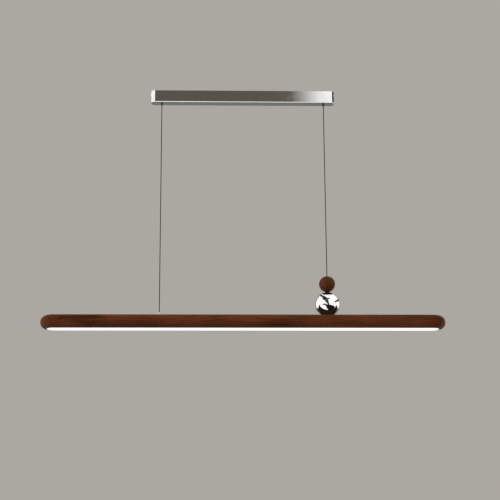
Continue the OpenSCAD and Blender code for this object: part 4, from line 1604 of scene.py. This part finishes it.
@dataclass
class Studio:
    """Camera, lights, floor and what the polished pieces reflect."""

    focal_px: float = 1340.6
    image_px: float = 500.0
    sensor_mm: float = 36.0
    clip_end: float = 200.0
    eye: Point = (-0.1006, -3.8828, -1.5792)
    pitch_deg: float = 15.434
    yaw_deg: float = 1.778
    roll_deg: float = -0.325
    backdrop: Colour = (0.4072, 0.3916, 0.3564)
    dome_low: Colour = (0.88, 0.87, 0.84)
    dome_high: Colour = (1.06, 1.06, 1.05)
    dome_edge: Span = (-0.3, 0.1)
    soft_light: Colour = (1.0, 0.99, 0.97)
    soft_light_heights: Span = (0.0, 0.8)
    soft_light_strengths: Span = (0.40, 0.14)
    floor_z: float = -2.5
    floor_half: float = 30.0
    floor_roughness: float = 0.8
    floor_noise_scale: float = 0.8
    floor_tones: tuple[Colour, Colour] = ((0.32, 0.315, 0.30), (0.36, 0.355, 0.34))
    floor_glow: Colour = (0.29, 0.28, 0.255)
    floor_mirrored: Colour = (1.08, 1.075, 1.06)
    shade_gap: float = 0.5 * MM
    shade_steps: int = 9
    ball_shade_inset: float = 4 * MM

    def build(self) -> None:
        """Sets the camera, the world, the floor, the lights and what the polished pieces reflect."""
        self.set_camera()
        self.set_world()
        self.set_floor()
        for light in LIGHTS:
            light.build()
        for card in (*(band.card() for band in BANDS), *self.flat_cards(), *self.shade_cards()):
            card.build()

    def set_camera(self) -> None:
        """Puts the camera where the photograph was taken from."""
        pitch, yaw, roll = (math.radians(a) for a in (self.pitch_deg, self.yaw_deg, self.roll_deg))
        forward = Vector((math.sin(yaw) * math.cos(pitch), math.cos(yaw) * math.cos(pitch), math.sin(pitch)))
        level = Vector((math.cos(yaw), -math.sin(yaw), 0.0))
        upright = level.cross(forward)
        right = level * math.cos(roll) + upright * math.sin(roll)
        up = upright * math.cos(roll) - level * math.sin(roll)
        data = bpy.data.cameras.new("camera")
        data.sensor_width = self.sensor_mm
        data.lens = self.focal_px * self.sensor_mm / self.image_px
        data.clip_end = self.clip_end
        camera = bpy.data.objects.new("camera", data)
        turn = Matrix((right, up, -forward)).transposed().to_4x4()
        camera.matrix_world = Matrix.Translation(self.eye) @ turn
        bpy.context.scene.collection.objects.link(camera)
        bpy.context.scene.camera = camera
        bpy.context.scene.view_settings.view_transform = "Standard"

    def set_world(self) -> None:
        """Shows the backdrop to the camera, a pale dome to polished surfaces and soft light to the rest."""
        world = bpy.data.worlds.new("studio")
        bpy.context.scene.world = world
        world.use_nodes = True
        world.node_tree.nodes.clear()
        nodes = Nodes(world.node_tree)
        rays = nodes.add("ShaderNodeLightPath").outputs
        height = nodes.split(nodes.coordinates("Generated"))[2]
        dome = nodes.blend(nodes.spread(height, *self.dome_edge, 0.0, 1.0), self.dome_low, self.dome_high)
        strength = nodes.spread(height, *self.soft_light_heights, *self.soft_light_strengths)
        plain = nodes.shader("ShaderNodeBackground", {"Color": self.soft_light, "Strength": strength})
        mirrored = nodes.shader("ShaderNodeBackground", {"Color": dome})
        seen = nodes.shader("ShaderNodeBackground", {"Color": self.backdrop})
        lit = nodes.shader("ShaderNodeMixShader", {0: rays["Is Glossy Ray"], 1: plain, 2: mirrored})
        straight = nodes.maths("MAXIMUM", rays["Is Camera Ray"], rays["Is Transmission Ray"])
        whole = nodes.shader("ShaderNodeMixShader", {0: straight, 1: lit, 2: seen})
        nodes.add("ShaderNodeOutputWorld", None, {"Surface": whole})

    def set_floor(self) -> None:
        """Lays a plain floor below the lamp, which looks pale but lights the lamp little."""
        half = self.floor_half
        shape = Shape()
        corners = ((-half, -half), (half, -half), (half, half), (-half, half))
        shape.bm.faces.new(shape.ring((x, y, self.floor_z) for x, y in corners))
        floor = shape.finish("floor")
        material, nodes = new_material("pale_floor", keep_shader=True)
        surface = material.node_tree.nodes["Principled BSDF"]
        tone = nodes.noise(nodes.coordinates("Object"), self.floor_noise_scale, 2.0)
        nodes.feed(surface.inputs["Base Color"], nodes.blend(tone, *self.floor_tones))
        nodes.feed(surface.inputs["Roughness"], self.floor_roughness)
        rays = nodes.add("ShaderNodeLightPath").outputs
        straight = nodes.maths("MAXIMUM", rays["Is Camera Ray"], rays["Is Transmission Ray"])
        glow = nodes.shader("ShaderNodeEmission", {"Color": self.floor_glow, "Strength": straight})
        seen = nodes.shader("ShaderNodeAddShader", {0: surface.outputs[0], 1: glow})
        mirrored = nodes.shader("ShaderNodeEmission", {"Color": self.floor_mirrored})
        whole = nodes.shader("ShaderNodeMixShader", {0: rays["Is Glossy Ray"], 1: seen, 2: mirrored})
        nodes.feed(material.node_tree.nodes["Material Output"].inputs["Surface"], whole)
        floor.data.materials.append(material)

    def flat_cards(self) -> list[MirrorCard]:
        """The dark cards behind the lamp and the pale one under the canopy's front edge.

        Returns:
            The cards.
        """
        low = [((-3.5, 4.5, z), (3.5, 4.5, z), 1.0) for z in (-2.45, -1.25)]
        edge = [((-0.30, y, -0.10), (0.30, y, -0.10), 1.0) for y in (-0.13, -0.03)]
        rear = [((-2.2, 4.6, z), (2.8, 4.6, z), 1.0) for z in (-1.2, 3.0)]
        return [
            MirrorCard("rear_low_flag", (0.19, 0.188, 0.178), low),
            MirrorCard("canopy_edge_card", (1.9, 1.9, 1.86), edge),
            MirrorCard("rear_flag", (0.03, 0.028, 0.026), rear),
        ]

    def shade_cards(self) -> list[MirrorCard]:
        """Dark cards just over the bar's top and front edge and under the wooden ball, turned to the polished
        ball: painted shade that shows only in reflections.

        Returns:
            The cards.
        """
        polished = NodeBox.of("chrome_ball")
        centre = (polished.x, 0.0, polished.z)
        bar = NodeBox.of("wood_bar")
        edge_r = bar.height / 2
        section = [(bar.high.y - edge_r, bar.high.z + self.shade_gap)]
        front = (bar.low.y + edge_r, bar.high.z - edge_r)
        section += arc(front, edge_r + self.shade_gap, 90, 180, self.shade_steps)
        left, right = bar.low.x + 2 * edge_r, bar.high.x - 2 * edge_r
        on_bar = [((left, y, z), (right, y, z), 1.0) for y, z in section]
        ball = NodeBox.of("wood_ball")
        inset = self.ball_shade_inset
        left, right, z = ball.low.x + inset, ball.high.x - inset, ball.low.z + inset
        under_ball = [((left, y, z), (right, y, z), 1.0) for y in (ball.low.y + inset, ball.high.y - inset)]
        # Painted shade: dark sheets that stand in for the shade on the bar and under the wooden ball in the
        # polished ball's reflection.
        return [
            MirrorCard("bar_edge_shade", (0.018, 0.010, 0.007), on_bar, centre),
            MirrorCard("under_ball_shade", (0.008, 0.006, 0.005), under_ball, centre),
        ]


def main() -> None:
    """Builds the studio and the lamp, and reports each piece."""
    logging.basicConfig(level=logging.INFO, format="%(name)s: %(message)s")
    Studio().build()
    for side in Side:
        HangingWire(side).build()
        WireGrip(side).build()
        BarWiring(side).build()
    Canopy().build()
    Bar().build()
    WireFerrule().build()
    BallStack().build()
    dress_solids()


if __name__ == "__main__":
    main()
